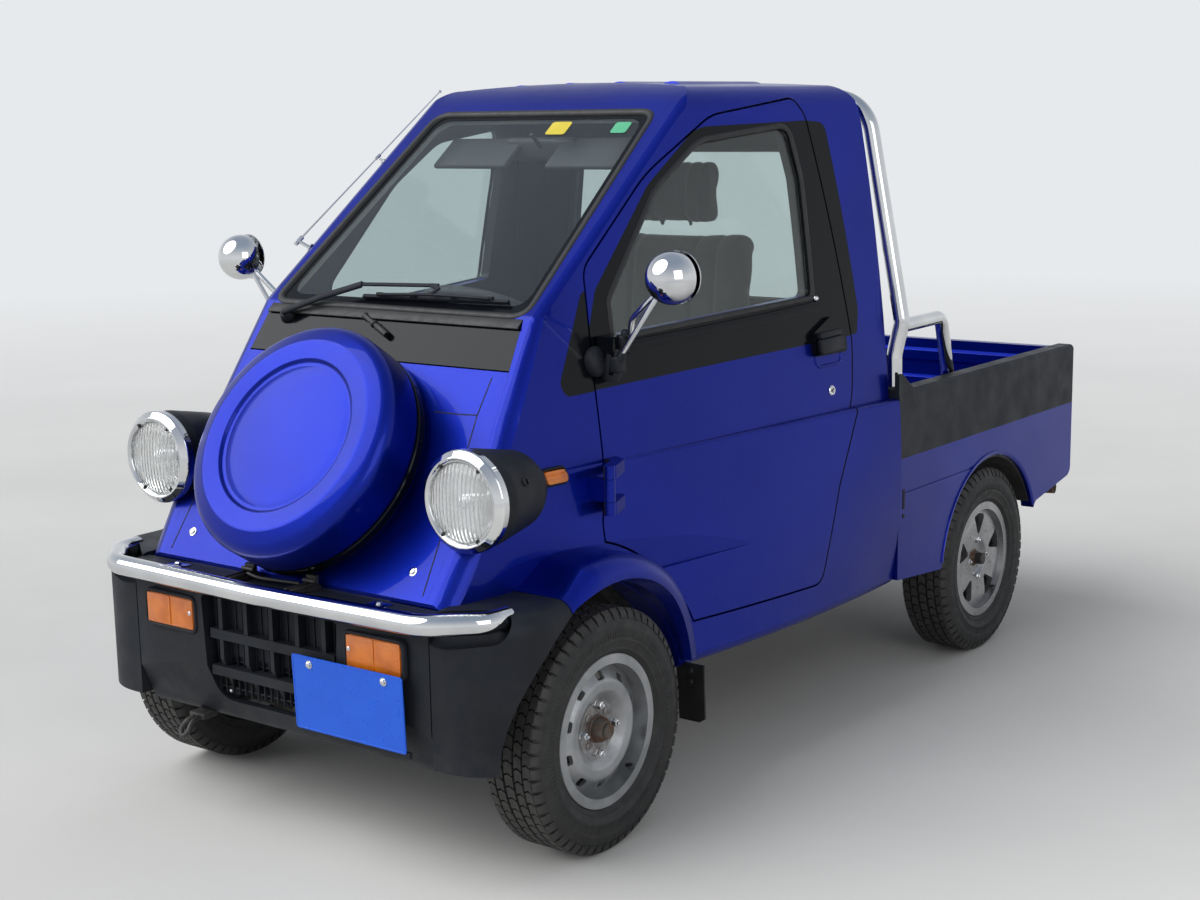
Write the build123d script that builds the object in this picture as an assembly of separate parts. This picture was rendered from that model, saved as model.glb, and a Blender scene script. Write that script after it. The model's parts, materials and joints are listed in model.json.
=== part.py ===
from build123d import *
from collections import namedtuple
from math import cos, radians, sin, sqrt, tan
import os

os.makedirs("parts", exist_ok=True)

# Small kei pickup with a one-seat cab, millimetres, +Z up, front towards -Y.
# It is drawn with y = 0 at the front axle and z = 0 on the ground, and every
# piece is moved on export so that the origin is under the middle of the truck.

# Overall sizes
length = 2870
wheelbase = 1840
front_overhang = 455
body_half = 647
height = 1646
track = 1110

# Clearances and walls
shut_gap = 5
seam = 3
slip = 0.3
side_wall = 45
skin = 36
glass_thickness = 5
garnish_thickness = 10

# Cab levels and slopes
rocker_z = 318
floor_z = 405
floor_thickness = 35
ledge_z = 820
cowl_z = 1036
screen_foot = (31, 1143)
screen_slope = 1.30
nose_slope = 0.657
deck_z = 585
cab_rear = 1262
eaves_z = 1560
roof_corner = 78
side_bulge = 12

# Roof beads, pressed along the roof
bead_rows = (-240, -80, 80, 240)
bead_radius = 60
bead_rise = 4
bead_ends = (790, 1195)

# Door hinges, outboard of the cab side so that the door clears the fender
hinge_x = 556
hinge_y = 98
hinge_radius = 13
hinge_levels = (717, 746, 797, 826)

# Front corners of the cab: level, half width and corner radius
Corner = namedtuple("Corner", "z half radius")
corners = [
    Corner(560, 459, 62), Corner(700, 471.5, 62), Corner(815, 469.5, 60), Corner(930, 452, 56),
    Corner(1143, 427.5, 40), Corner(1330, 419, 36), Corner(1560, 410, 36), Corner(1670, 406, 36),
]

# Half widths of the cab side at each station
Station = namedtuple("Station", "y sill waist belt roof")
stations = [
    Station(-330, 440, 452, 450, 263),
    Station(350, 590, 529, 527, 371),
    Station(cab_rear, 628, 642, 612, 515),
]

# Wheels
tyre_radius = 268
tyre_width = 145
rim_radius = 152
rim_flange = 168
rim_width = 112
hub_radius = 62
bolt_circle = 110
bolt_hole = 12.5
bolts = 4
steel_vents = 10
alloy_windows = 5
spindle_radius = 17
drum_radius = 84

# Steering and front suspension
kingpin_x = 540
kingpin_radius = 26
steer_angle = 34

# Wheel arches
wheelhouse_radius = 322
wheelhouse_x = 325
arch_radius = 335
fender_radius = 385
fender_edge = 45
fender_bend = 1133
door_arc = 402
fender_seam_y = -150
rear_arch_radius = 318

# Bumper
bumper_front = -400
bumper_low = 235
bumper_wall = 32
bumper_bow = 22
corner_x = 450
corner_low = 262
corner_round = 165
corner_top = 592
tube_radius = 23
tube_z = 577
tube_bowl = (566, -324, 574)
bowl_radius = 46

# Spare wheel cover on the nose
cover_radius = 272
cover_depth = 168
cover_along_nose = 205

# Headlamps
lamp = (468, -263, 803)
lamp_radius = 86
lamp_ring = 108
marker_rise = 9
pod_length = 205

# Load bed
bed_front = 1278
bed_floor_z = 600
bed_top = 838
cladding_low = 657
bed_inner = 583
bed_outer = 640
gate_thickness = 32
gate_pin = 6

# Mirrors
mirror_head = (664, 184, 1226)
mirror_radius = 57

# Roll bar
side_bar_radius = 19
bar_radius = 21
bar_y = 1302
bar_top = 1600

front_y = 0
rear_y = wheelbase
rear_end = length - front_overhang
gate_axis_y = rear_end - gate_thickness / 2
gate_axis_z = bed_floor_z + 22
to_middle = (0, front_overhang - length / 2, 0)


# Helpers for outlines and solids

def outline(*corners):
    """Closed face through corners given as (u, v, radius)."""
    edges = []
    ends = []
    count = len(corners)
    for i, (u, v, radius) in enumerate(corners):
        here = Vector(u, v)
        if radius == 0:
            ends.append((here, here))
            continue
        before = (Vector(*corners[i - 1][:2]) - here).normalized()
        after = (Vector(*corners[(i + 1) % count][:2]) - here).normalized()
        half = radians(before.get_angle(after)) / 2
        start = here + before * (radius / tan(half))
        end = here + after * (radius / tan(half))
        inward = (before + after).normalized()
        middle = here + inward * (radius / sin(half) - radius)
        edges.append(ThreePointArc(start, middle, end))
        ends.append((start, end))
    for i in range(count):
        start, end = ends[i][1], ends[(i + 1) % count][0]
        if (end - start).length > 1e-6:
            edges.append(Line(start, end))
    return make_face(edges)


def across(face, x_from, x_to):
    """Outline in (y, z), extruded along X."""
    return extrude(Plane.YZ.offset(x_from) * face, amount=x_to - x_from)


def along(face, y_from, y_to):
    """Outline in (x, z), extruded along Y."""
    return extrude(Plane.XZ.offset(-y_to) * face, amount=y_to - y_from)


def upward(face, z_from, z_to):
    """Outline in (x, y), extruded along Z."""
    return extrude(Plane.XY.offset(z_from) * face, amount=z_to - z_from)


def block(x, y, z):
    """Box from (low, high) pairs."""
    size = [high - low for low, high in (x, y, z)]
    middle = [(low + high) / 2 for low, high in (x, y, z)]
    return Pos(*middle) * Box(*size)


def turned(face, origin, direction):
    """Outline in (radius, height), revolved about its height axis."""
    solid = revolve(Plane.XZ * face, Axis.Z)
    return Plane(origin=origin, z_dir=direction).location * solid


def rod(radius, start, end):
    """Round bar from one point to another."""
    axis = Vector(*end) - Vector(*start)
    bar = Cylinder(radius, axis.length, align=(Align.CENTER, Align.CENTER, Align.MIN))
    return Plane(origin=start, z_dir=axis).location * bar


def bent_tube(points, radii, radius):
    """Round tube along straight runs joined by arcs."""
    path = FilletPolyline(*points, radius=radii)
    section = Plane(origin=path @ 0, z_dir=path % 0) * Circle(radius)
    return sweep(section, path=path)


def mirrored(shape):
    return mirror(shape, about=Plane.YZ)


def pair(shape):
    """The piece and its mirror image on the other side, as separate solids."""
    return list(shape.solids()) + list(mirrored(shape).solids())


def save(name, *shapes):
    solids = []
    for shape in shapes:
        solids += shape if isinstance(shape, list) else list(shape.solids())
    moved = [solid.translate(to_middle) for solid in solids]
    body = moved[0] if len(moved) == 1 else Compound(children=moved)
    export_step(body, f"parts/{name}.step")


# Cab master shape

def lower_section(station):
    sill, waist = station.sill, station.waist
    middle = (sill + waist) / 2 + side_bulge
    corner = 26
    half = [
        Line((0, rocker_z), (sill - corner, rocker_z)),
        ThreePointArc((sill - corner, rocker_z), (sill - corner * 0.3, rocker_z + corner * 0.3),
                      (sill, rocker_z + corner)),
        ThreePointArc((sill, rocker_z + corner), (middle, (rocker_z + ledge_z) / 2),
                      (waist, ledge_z - 12)),
        ThreePointArc((waist, ledge_z - 12), (waist - 3.5, ledge_z - 3.5), (waist - 12, ledge_z)),
        Line((waist - 12, ledge_z), (0, ledge_z)),
    ]
    return section_at(station.y, half)


def upper_section(station):
    belt, roof = station.belt, station.roof
    low = ledge_z - 40
    middle = (belt + roof) / 2 + side_bulge
    half = [
        Line((0, low), (belt, low)),
        ThreePointArc((belt, low), (middle, (low + eaves_z) / 2), (roof, eaves_z)),
        ThreePointArc((roof, eaves_z), (roof - roof_corner * 0.27, eaves_z + roof_corner * 0.63),
                      (roof - roof_corner, height - 14)),
        ThreePointArc((roof - roof_corner, height - 14), ((roof - roof_corner) / 2, height - 3.5),
                      (0, height)),
    ]
    return section_at(station.y, half)


def core_section(station, inset):
    """Space inside the side walls, open past the floor and the roof."""
    sill, belt, roof = [w - inset for w in (station.sill, station.belt, station.roof)]
    middle = (belt + roof) / 2 + side_bulge
    half = [
        Line((0, 100), (sill, 100)),
        Line((sill, 100), (belt, ledge_z)),
        ThreePointArc((belt, ledge_z), (middle, (ledge_z + eaves_z) / 2), (roof, eaves_z)),
        Line((roof, eaves_z), (roof - 10, height + 60)),
        Line((roof - 10, height + 60), (0, height + 60)),
    ]
    return section_at(station.y, half)


def section_at(y, half):
    """Whole section at one y from its right half."""
    other = [mirror(edge, about=Plane.YZ) for edge in half]
    return Plane.XZ.offset(-y) * make_face(half + other)


def nose_y(z):
    return screen_foot[0] - nose_slope * (screen_foot[1] - z)


def screen_y(z):
    return screen_foot[0] + screen_slope * (z - screen_foot[1])


def cab_profile(inset):
    """Side view of the cab, drawn in by the wall thickness."""
    nose_in = inset * sqrt(1 + nose_slope ** 2)
    screen_in = inset * sqrt(1 + screen_slope ** 2)
    top = height - inset
    foot_shift = (screen_in - nose_in) / (screen_slope - nose_slope)
    foot_z = screen_foot[1] - foot_shift
    return outline(
        (nose_y(rocker_z) + nose_in, rocker_z - 50, 0),
        (nose_y(rocker_z) + nose_in, rocker_z, 0),
        (nose_y(foot_z) + nose_in, foot_z, 60),
        (screen_y(top) + screen_in, top, 240),
        (cab_rear - inset, top, 90 - inset),
        (cab_rear - inset, rocker_z - 50, 0),
    )


def corner_limit():
    """Space whose rounded front corners soften the nose and the screen pillars."""
    sections = []
    for corner in corners:
        slope = nose_y if corner.z < screen_foot[1] else screen_y
        front = slope(corner.z) - 1.5
        side = corner.half + 0.15 * (1400 - front)
        plan = outline(
            (-corner.half, front, corner.radius), (corner.half, front, corner.radius),
            (side, 1400, 0), (-side, 1400, 0))
        sections.append(Plane.XY.offset(corner.z) * plan)
    return loft(sections, ruled=True) + block((-700, 700), (-700, 1400), (200, corners[0].z))


upper = loft([upper_section(s) for s in stations])
lower = loft([lower_section(s) for s in stations])
core = loft([core_section(s, side_wall) for s in stations])
room_core = loft([core_section(s, side_wall + slip) for s in stations])
cab_outer = (upper + lower) & across(cab_profile(0), -700, 700) & corner_limit()
inner_room = across(cab_profile(skin), -700, 700)

wheel_axis = (0, front_y, tyre_radius)
wheelhouse_cut = across(Pos(front_y, tyre_radius) * Circle(wheelhouse_radius), wheelhouse_x, 700)
low_front = block((-700, 700), (-700, 0), (0, deck_z))
walls = cab_outer - core - wheelhouse_cut - mirrored(wheelhouse_cut) - low_front
ribbon = (cab_outer & room_core) - inner_room

# Door outline, glass and black surround in (y, z)
door_face = outline(
    (119, 640, 30), (119, 690, 60), (156, 830, 120), (165, 1010, 200), (190, 1235, 60),
    (440, 1430, 500), (700, 1560, 200), (1008, 1598, 26), (1040, 1555, 60), (1112, 985, 200),
    (1092, 838, 200), (972, 640, 120), (872, 409, 45), (330, 425, 0), (200, 500, 0),
)
glass_face = outline(
    (248, 1082, 14), (255, 1165, 30), (470, 1395, 200), (640, 1497, 150), (968, 1531, 40),
    (984, 1400, 60), (966, 1112, 20),
)
surround_face = outline(
    (60, 972, 0), (600, 988, 0), (1200, 1003, 0), (1200, 1548, 0), (640, 1535, 150),
    (440, 1408, 200), (212, 1188, 60), (170, 1100, 0), (60, 1100, 0),
)
corner_garnish_face = outline(
    (58, 1000, 22), (70, 970, 22), (300, 977, 0), (300, 1190, 0), (170, 1190, 30),
)
handle_face = outline(
    (940, 964, 12), (1072, 966, 12), (1072, 1050, 16), (1012, 1058, 16), (940, 1024, 12))
handle_rise = 13
mirror_foot = ((468, 512), (178, 226), (1008, 1092))
strip_garnish_face = outline(
    (1000, 1003, 0), (1138, 1003, 14), (1152, 1062, 40), (1112, 1538, 26), (1000, 1548, 0),
)


def grown(face, by):
    return offset(face, by, kind=Kind.INTERSECTION)


def hinge_barrel(low, high):
    return rod(hinge_radius, (hinge_x, hinge_y, low), (hinge_x, hinge_y, high))


def build_hinges():
    """Fixed middle barrel with its lug, and the door's two barrels with their arms."""
    low, mid_low, mid_high, high = hinge_levels
    fixed = hinge_barrel(mid_low + 1, mid_high - 1)
    fixed += block((480, hinge_x), (hinge_y - 12, hinge_y + 12), (mid_low + 1, mid_high - 1))
    moving = hinge_barrel(low, mid_low) + hinge_barrel(mid_high, high)
    arm = outline(
        (hinge_x - 12, hinge_y - 4, 0), (hinge_x + 8, hinge_y - 9, 0), (hinge_x + 13, hinge_y + 8, 0),
        (540, 176, 0), (500, 196, 0), (500, 158, 0), (522, 150, 0))
    moving += upward(arm, low, mid_low) + upward(arm, mid_high, high)
    return fixed, moving


def build_side():
    """Left side wall, door, surround, glass and garnishes."""
    reach = (300, 700)
    wall = walls & block((0, 700), (-700, 1400), (0, 1800))
    ring = across(Pos(front_y, tyre_radius) * Circle(door_arc), *reach)
    door_prism = across(door_face, *reach) - ring
    opening = across(grown(door_face, shut_gap), *reach)
    opening -= across(Pos(front_y, tyre_radius) * Circle(door_arc - shut_gap), *reach)
    door_all = wall & door_prism
    side = wall - opening
    surround_prism = across(surround_face, *reach)
    window = across(glass_face, *reach)
    inner_layer = Pos(-garnish_thickness, 0, 0) * cab_outer
    door = door_all - window
    surround = (door & surround_prism) - inner_layer
    handle = (across(handle_face, *reach) & (Pos(handle_rise, 0, 0) * cab_outer)) - inner_layer
    surround = surround + handle
    door = door - surround
    surround = surround + (block(*mirror_foot) - inner_layer)
    pane_out = wall & window
    recess = Pos(-8, 0, 0)
    pane = (pane_out & (recess * pane_out)) - (Pos(-8 - glass_thickness, 0, 0) * pane_out)
    garnish_prism = across(corner_garnish_face, *reach) + across(strip_garnish_face, *reach)
    garnish = (side & garnish_prism) - inner_layer
    fixed, moving = build_hinges()
    side = (side - garnish) + (fixed - core - garnish)
    door = door + (moving - core)
    return side, door, surround, pane, garnish


side, door, surround, pane, garnish = build_side()
save("cab_sides", pair(side))
save("side_garnishes", pair(garnish))
save("door_left", door)
save("door_right", mirrored(door))
save("door_surround_left", surround)
save("door_surround_right", mirrored(surround))
save("door_glass_left", pane)
save("door_glass_right", mirrored(pane))


# Roof, rear wall, nose, cowl and their glass

def screen_outline(grow):
    """Windscreen outline in its own plane, as (x, distance up the screen)."""
    tall = 705
    return outline(
        (-382 - grow, 6 - grow, 40), (382 + grow, 6 - grow, 40),
        (338 + grow, tall + grow, 46), (-338 - grow, tall + grow, 46),
    )


screen_plane = Plane(
    origin=(0, screen_foot[0], screen_foot[1]),
    x_dir=(1, 0, 0),
    z_dir=(0, -1, screen_slope),
)
screen_hole = extrude(screen_plane * screen_outline(0), amount=60, both=True)
screen_glass = extrude(screen_plane.offset(-10) * screen_outline(-slip), amount=glass_thickness)
rear_face = outline((-430, 1060, 40), (430, 1060, 40), (385, 1470, 40), (-385, 1470, 40))
rear_hole = along(rear_face, cab_rear - 100, cab_rear + 20)
rear_glass = along(offset(rear_face, -slip), cab_rear - 22, cab_rear - 22 + glass_thickness)

def roof_bead(x):
    """Raised rib along the roof with sloping ends."""
    first, last = bead_ends
    top = height - 3.5 * abs(x) / 200
    rib = rod(bead_radius, (x, first, top - bead_radius + bead_rise), (x, last, top - bead_radius + bead_rise))
    return rib & across(outline(
        (first, height - 24, 0), (first + 24, height + 12, 0), (last - 24, height + 12, 0),
        (last, height - 24, 0)), x - bead_radius, x + bead_radius)


rear_part = block((-700, 700), (cab_rear - skin, 1400), (floor_z - floor_thickness, height - 90))
cowl_top = screen_foot[1] - 9
above_cowl = block((-700, 700), (-700, 1400), (cowl_top + slip, 1800))
roof = (ribbon & above_cowl) - rear_part - screen_hole
rear_wall = (ribbon & rear_part) - rear_hole
nose_band = block((-700, 700), (-700, 200), (deck_z, cowl_z - seam))
cowl_band = block((-700, 700), (-700, 250), (cowl_z, cowl_top))
nose = ribbon & nose_band
cowl = ribbon & cowl_band
for x in bead_rows:
    roof += roof_bead(x)
save("roof", roof)
save("cab_rear_wall", rear_wall)
save("nose_panel", nose)
save("cowl_garnish", cowl)
save("cab_glass", screen_glass, rear_glass)


# Cab floor with toe board, wheel housings and the engine cover that carries the seat

def build_floor():
    low = floor_z - floor_thickness
    half = wheelhouse_x - 20
    cover_half = 310
    cover_top = 640
    rear = cab_rear - skin
    plate = room_core & block((-700, 700), (front_y + 300, rear), (low, floor_z))
    foot_y = nose_y(deck_z)
    well = block((-half, half), (foot_y + 90, front_y + 300), (low, floor_z))
    toe = across(outline(
        (foot_y + 90, low, 0), (foot_y + 90 + skin, floor_z, 0),
        (foot_y + 38, deck_z, 0), (foot_y + slip, deck_z, 0)), -half, half)
    floor = plate + well + toe
    drum = across(Pos(front_y, tyre_radius) * Circle(wheelhouse_radius), half, wheelhouse_x + 140)
    room = across(Pos(front_y, tyre_radius) * Circle(wheelhouse_radius - 18), wheelhouse_x, 700)
    housing = ((drum - room) & room_core) & block((0, 700), (foot_y + 50, 400), (low, 800))
    floor = floor + housing + mirrored(housing)
    cover = block((-cover_half, cover_half), (640, rear), (low, cover_top))
    inside = block((-cover_half + 25, cover_half - 25), (665, rear), (0, cover_top - 25))
    floor = (floor - inside) + (cover - inside)
    return floor


save("cab_floor", build_floor())


# Front fenders and bumper

def build_flare():
    """Flare over the front wheel and the bumper corner ahead of it, as one rounded form."""
    front = bumper_front + bumper_bow
    disc = Pos(front_y, tyre_radius) * Circle(fender_radius)
    above = outline((-400, corner_top, 0), (fender_seam_y, corner_top, 0), (30, 712, 0), (30, 800, 0), (-400, 800, 0))
    nose = outline((front, corner_low, 0), (front, corner_top, 0), (0, corner_top, 0), (0, corner_low, 0))
    behind = outline((fender_seam_y, 0, 0), (fender_seam_y, 800, 0), (800, 800, 0), (800, 0, 0))
    side = ((disc & behind) - above) + nose
    soft = []
    for vertex in side.vertices():
        if vertex.Y > 560 and -200 < vertex.X < 0:
            soft.append(vertex)
    side = fillet(soft, 60)
    flare = across(side, 300, body_half) & block((300, 700), (-400, 420), (corner_low, 800))
    bend = upward(Pos(body_half - fender_bend, 60) * Circle(fender_bend), 100, 800)
    flare = flare & (bend + block((300, 700), (-600, 60), (100, 800)))
    upright = []
    for edge in flare.edges():
        middle = edge @ 0.5
        if abs(middle.X - body_half) < 0.1 and abs(middle.Y - front) < 0.1:
            upright.append(edge)
    flare = fillet(upright, corner_round)
    rounded = []
    for edge in flare.edges():
        outside = min((edge @ 0).X, (edge @ 1).X) > 470
        top_front = abs((edge @ 0.5).Y - front) < 0.1 and abs((edge @ 0.5).Z - corner_top) < 0.1
        if (outside or top_front) and (edge @ 0.5).Z > corner_low + 10 and not is_upright(edge):
            rounded.append(edge)
    return fillet(rounded, fender_edge)


def is_upright(edge):
    return abs((edge % 0.5).Z) > 0.99


flare = build_flare()


def build_fender():
    """Blue part of the flare, open underneath for the wheel."""
    section = outline(
        (wheelhouse_radius + 1, 400, 0), (wheelhouse_radius + 1, 600, 0), (arch_radius, 636, 0),
        (arch_radius, 700, 0), (fender_radius + 20, 700, 0), (fender_radius + 20, 400, 0),
    )
    ring = turned(section, (0, front_y, tyre_radius), (1, 0, 0))
    keep = across(outline(
        (fender_seam_y, 400, 0), (fender_seam_y, 800, 0), (420, 800, 0), (420, 345, 0),
        (0, 345, 0), (0, 400, 0)), 300, 700)
    return (ring & flare & keep) - cab_outer


save("front_fenders", pair(build_fender()))


def build_tube(radius):
    """Chrome tube round the front of the bumper deck, ending in its corners."""
    y_mid = -front_overhang + tube_radius
    side_x = 570
    points = [(-side_x, -270, tube_z), (-side_x + 4, -330, tube_z), (-470, y_mid + 16, tube_z),
              (0, y_mid, tube_z), (470, y_mid + 16, tube_z), (side_x - 4, -330, tube_z),
              (side_x, -270, tube_z)]
    return bent_tube(points, [60, 90, 900, 90, 60], radius)


tube_groove = build_tube(tube_radius + shut_gap)
save("bumper_tube", build_tube(tube_radius))


def build_bumper():
    """Front moulding with its deck, and the two corner mouldings."""
    end_y = bumper_front + bumper_bow
    back = nose_y(deck_z)
    plan = make_face([
        ThreePointArc((-corner_x, end_y), (0, bumper_front), (corner_x, end_y)),
        Line((corner_x, end_y), (corner_x, back)),
        Line((corner_x, back), (-corner_x, back)),
        Line((-corner_x, back), (-corner_x, end_y)),
    ])
    solid = upward(plan, bumper_low, deck_z)
    lean = across(outline(
        (bumper_front - 5, deck_z - 40, 30), (bumper_front + 4, deck_z, 14), (0, deck_z, 0),
        (0, bumper_low, 0), (bumper_front + 62, bumper_low, 40), (bumper_front - 5, 400, 90)), -700, 700)
    solid = solid & lean
    inside = solid & (Pos(0, bumper_wall, -26) * solid)
    ends = block((-corner_x + 25, corner_x - 25), (-700, 0), (0, 700))
    solid = solid - (inside & ends)
    mouth = along(outline(
        (-210, 540, 12), (210, 540, 12), (196, 292, 40), (-196, 292, 40)), -500, back + 10)
    solid = solid - mouth
    for sign in (-1, 1):
        x = sign * 314
        signal = along(outline(
            (x - 78, 522, 14), (x + 78, 522, 14), (x + 78, 450, 14), (x - 78, 450, 14)), -500, -372)
        solid = solid - signal
    return solid - tube_groove


def build_corner():
    """Black moulding ahead of the wheel, with a round seat for the tube's end."""
    room = block((corner_x + seam, 700), (-500, fender_seam_y - seam), (corner_low, 800))
    arch = across(Pos(front_y, tyre_radius) * Circle(arch_radius), 300, 700)
    end_seat = block((300, 700), (-268, 0), (0, 700))
    bowl_x, bowl_y, bowl_z = tube_bowl
    bowl = Pos(*tube_bowl) * Sphere(bowl_radius)
    bowl += rod(bowl_radius, (corner_x - 20, bumper_front - 20, bowl_z - 8), (bowl_x, bowl_y, bowl_z))
    return (flare & room) - arch - cab_outer - (tube_groove - end_seat) - bowl


bumper = build_bumper()
save("bumper_cover", bumper)
save("bumper_corners", pair(build_corner()))


def build_grille():
    """Radiator grille behind the bumper mouth: ribs, two slats and a fine backing."""
    inner = bumper_front + bumper_wall
    backing = outline(
        (inner + 5.4, 545, 0), (inner + 12, 545, 0), (inner + 12, 404, 0), (inner + 46, 302, 0),
        (inner + 40, 302, 0), (inner + 5.4, 402, 0))
    rib = outline(
        (inner - 18, 536, 0), (inner + 8, 536, 0), (inner + 8, 404, 0), (inner + 42, 303, 0),
        (inner + 20, 303, 0), (inner - 18, 396, 0))
    solid = across(backing, -222, 222)
    for z in (368, 452):
        solid += block((-193, 193), (inner - 20, inner + 26), (z - 11, z + 11))
    for i in range(5):
        x = -160 + 80 * i
        solid += across(rib, x - 6, x + 6)
    return solid


save("grille", build_grille())


# Spare wheel cover and its carrier

nose_normal = Vector(0, -1, nose_slope).normalized()
nose_up = Vector(0, nose_slope, 1).normalized()
nose_base = Vector(0, nose_y(645), 645)
cover_centre = nose_base + nose_up * cover_along_nose


def build_cover():
    section = outline(
        (0, 12, 0), (cover_radius - 6, 12, 6), (cover_radius - 6, 52, 4), (cover_radius, 58, 4),
        (cover_radius, cover_depth - 18, 44), (cover_radius - 48, cover_depth, 16),
        (cover_radius - 92, cover_depth - 6, 8), (cover_radius - 98, cover_depth - 12, 4),
        (0, cover_depth - 2, 0),
    )
    return turned(section, cover_centre, nose_normal)


cover_plane = Plane(origin=cover_centre, x_dir=(1, 0, 0), z_dir=nose_normal)
cover_seat = cover_plane.location * Pos(0, 0, 6) * Cylinder(90, 12)
save("spare_cover", build_cover())
brackets = []
for x in (-95, 95):
    brackets.append(block((x - 18, x + 18), (-376, -340), (deck_z + slip, deck_z + 9)))
    brackets[-1] += block((x - 14, x + 14), (-352, -342), (deck_z + slip, deck_z + 30)) - build_cover()
save("spare_carrier", cover_seat, *brackets)


# Headlamps

def build_pod():
    section = outline(
        (0, 0, 0), (lamp_ring - 6, 0, 0), (lamp_ring - 4, -30, 40), (lamp_ring - 26, -150, 60),
        (44, -pod_length, 40), (0, -pod_length, 0),
    )
    return turned(section, lamp, (0, -1, 0)) - cab_outer


def build_ring():
    section = outline(
        (lamp_radius, 0, 0), (lamp_ring, 0, 0), (lamp_ring, 16, 8), (lamp_radius + 6, 30, 4),
        (lamp_radius, 24, 2),
    )
    return turned(section, lamp, (0, -1, 0)) - cab_outer


def build_lens():
    edge = lamp_radius - slip
    face = outline((0, slip, 0), (edge, slip, 0), (edge, 20, 6), (edge * 0.6, 32, 60), (0, 35, 0))
    return turned(face, lamp, (0, -1, 0))


save("headlamp_pods", pair(build_pod()))
save("headlamp_rings", pair(build_ring()))
save("headlamp_lenses", pair(build_lens()))


def build_signal():
    lens = along(outline(
        (237, 521, 13), (391, 521, 13), (391, 451, 13), (237, 451, 13)), -396, -372.3)
    return lens


def build_marker():
    """Side marker lamp, proud of the cab side ahead of the door."""
    prism = across(outline((-37, 799, 8), (25, 799, 8), (25, 825, 8), (-37, 825, 8)), 400, 600)
    return (prism & (Pos(marker_rise, 0, 0) * cab_outer)) - (Pos(slip, 0, 0) * cab_outer)


save("signal_lamps", pair(build_signal()), pair(build_marker()))


# Seat, dashboard and steering wheel

wheel_centre = Vector(0, 400, 1070)
column_axis = Vector(0, 0.5, 0.866).normalized()
column_radius = 24


def build_dashboard():
    face = outline(
        (-60, 820, 0), (60, 1090, 0), (170, 1105, 30), (235, 1040, 30), (225, 930, 30),
        (60, 800, 20))
    hood = outline((150, 1090, 0), (162, 1128, 14), (232, 1118, 20), (228, 1030, 0), (150, 1030, 0))
    panel = across(face, -470, 470) + across(hood, -135, 135)
    return panel & room_core & inner_room


def build_column():
    drop = wheel_centre.Z - floor_z - slip - column_radius * column_axis.Y
    low = wheel_centre - column_axis * (drop / column_axis.Z)
    return rod(column_radius, low, wheel_centre - column_axis * (39 + slip))


def build_steering_wheel():
    plane = Plane(origin=wheel_centre, x_dir=(1, 0, 0), z_dir=column_axis)
    rim = Torus(182, 15)
    hub = Pos(0, 0, -22) * Cylinder(48, 34)
    for angle in (30, 150, 270):
        spoke = Rot(0, 0, angle) * (Pos(105, 0, -12) * Box(160, 26, 12))
        hub = hub + spoke
    return plane.location * (rim + hub)


dashboard = build_dashboard() - build_column()
save("dashboard", dashboard)
save("steering_column", build_column())
save("steering_wheel", build_steering_wheel())
seat_base_z = 640 + slip
cushion = across(outline(
    (640, seat_base_z, 20), (640, 770, 40), (1060, 745, 40), (1120, seat_base_z, 0)), -245, 245)
backrest = across(outline(
    (1064, 752, 20), (1124, seat_base_z, 20), (1190, seat_base_z, 20), (1215, 1240, 40),
    (1120, 1270, 40)), -235, 235)
headrest = across(outline(
    (1125, 1275, 20), (1205, 1275, 20), (1212, 1440, 36), (1140, 1440, 36)), -120, 120)
for x in (-50, 50):
    headrest += rod(6, (x, 1168, 1257), (x, 1168, 1300))
save("seat_cushion", cushion)
save("seat_back", backrest)
save("seat_headrest", headrest)


# Mirrors on the doors

def build_mirror():
    """Chrome stalk of two legs that meet behind a domed head."""
    head = Vector(*mirror_head)
    face_x = mirror_foot[0][1] + slip
    rear_leg = bent_tube(
        [(face_x - 4, 214, 1074), (face_x + 20, 212, 1078), (548, 200, 1132), (646, 190, 1212)], [12, 40], 7)
    front_leg = rod(6, (face_x - 4, 190, 1030), (640, 188, 1206))
    dome = Sphere(mirror_radius) & (Pos(0, -26, 0) * Box(200, 74, 200))
    legs = (rear_leg + front_leg) - block((400, face_x), (100, 300), (900, 1200))
    return legs + Pos(*head) * dome


mirror_solid = build_mirror()
save("mirror_left", mirror_solid)
save("mirror_right", mirrored(mirror_solid))


# Chassis, engine and axles

rail_in, rail_out = 190, 250


def build_chassis():
    rail = across(outline(
        (-300, 290, 0), (1330, 290, 60), (1500, 430, 60), (2350, 430, 0), (2350, 505, 0),
        (1440, 505, 60), (1290, floor_z - floor_thickness, 40), (-300, floor_z - floor_thickness, 0)),
        rail_in, rail_out)
    frame = rail + mirrored(rail)
    for y, z in ((-270, 330), (420, 330), (1235, 330), (1560, 468), (2290, 468)):
        frame += block((-rail_in, rail_in), (y - 28, y + 28), (z - 30, z + 30))
    for y in (1470, 1680, 1890, 2100, 2300):
        frame += block((-460, 460), (y - 25, y + 25), (505, bed_floor_z - 24))
    return frame


chassis = build_chassis()
save("chassis_frame", chassis)
engine = block((-180, 180), (690, 1160), (215, 600))
save("engine_block", engine)


def build_suspension():
    """Lower arm and strut of the left front wheel."""
    arm = upward(outline(
        (rail_in + 5, -110, 10), (rail_in + 5, 110, 10), (400, 30, 60), (kingpin_x + 18, 24, 16),
        (kingpin_x + 18, -24, 16), (400, -30, 60)), 150, 172)
    leg = block((200, 240), (-110, -70), (150, 290)) + block((200, 240), (70, 110), (150, 290))
    tower = tyre_radius + wheelhouse_radius - 20
    strut = rod(26, (428, 0, 365), (428, 0, tower))
    foot = block((402, kingpin_x + 20), (-20, 20), (358 + slip, 378))
    return arm + leg, strut + foot


arm, strut = build_suspension()
save("front_suspension", pair(arm), pair(strut))


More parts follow.
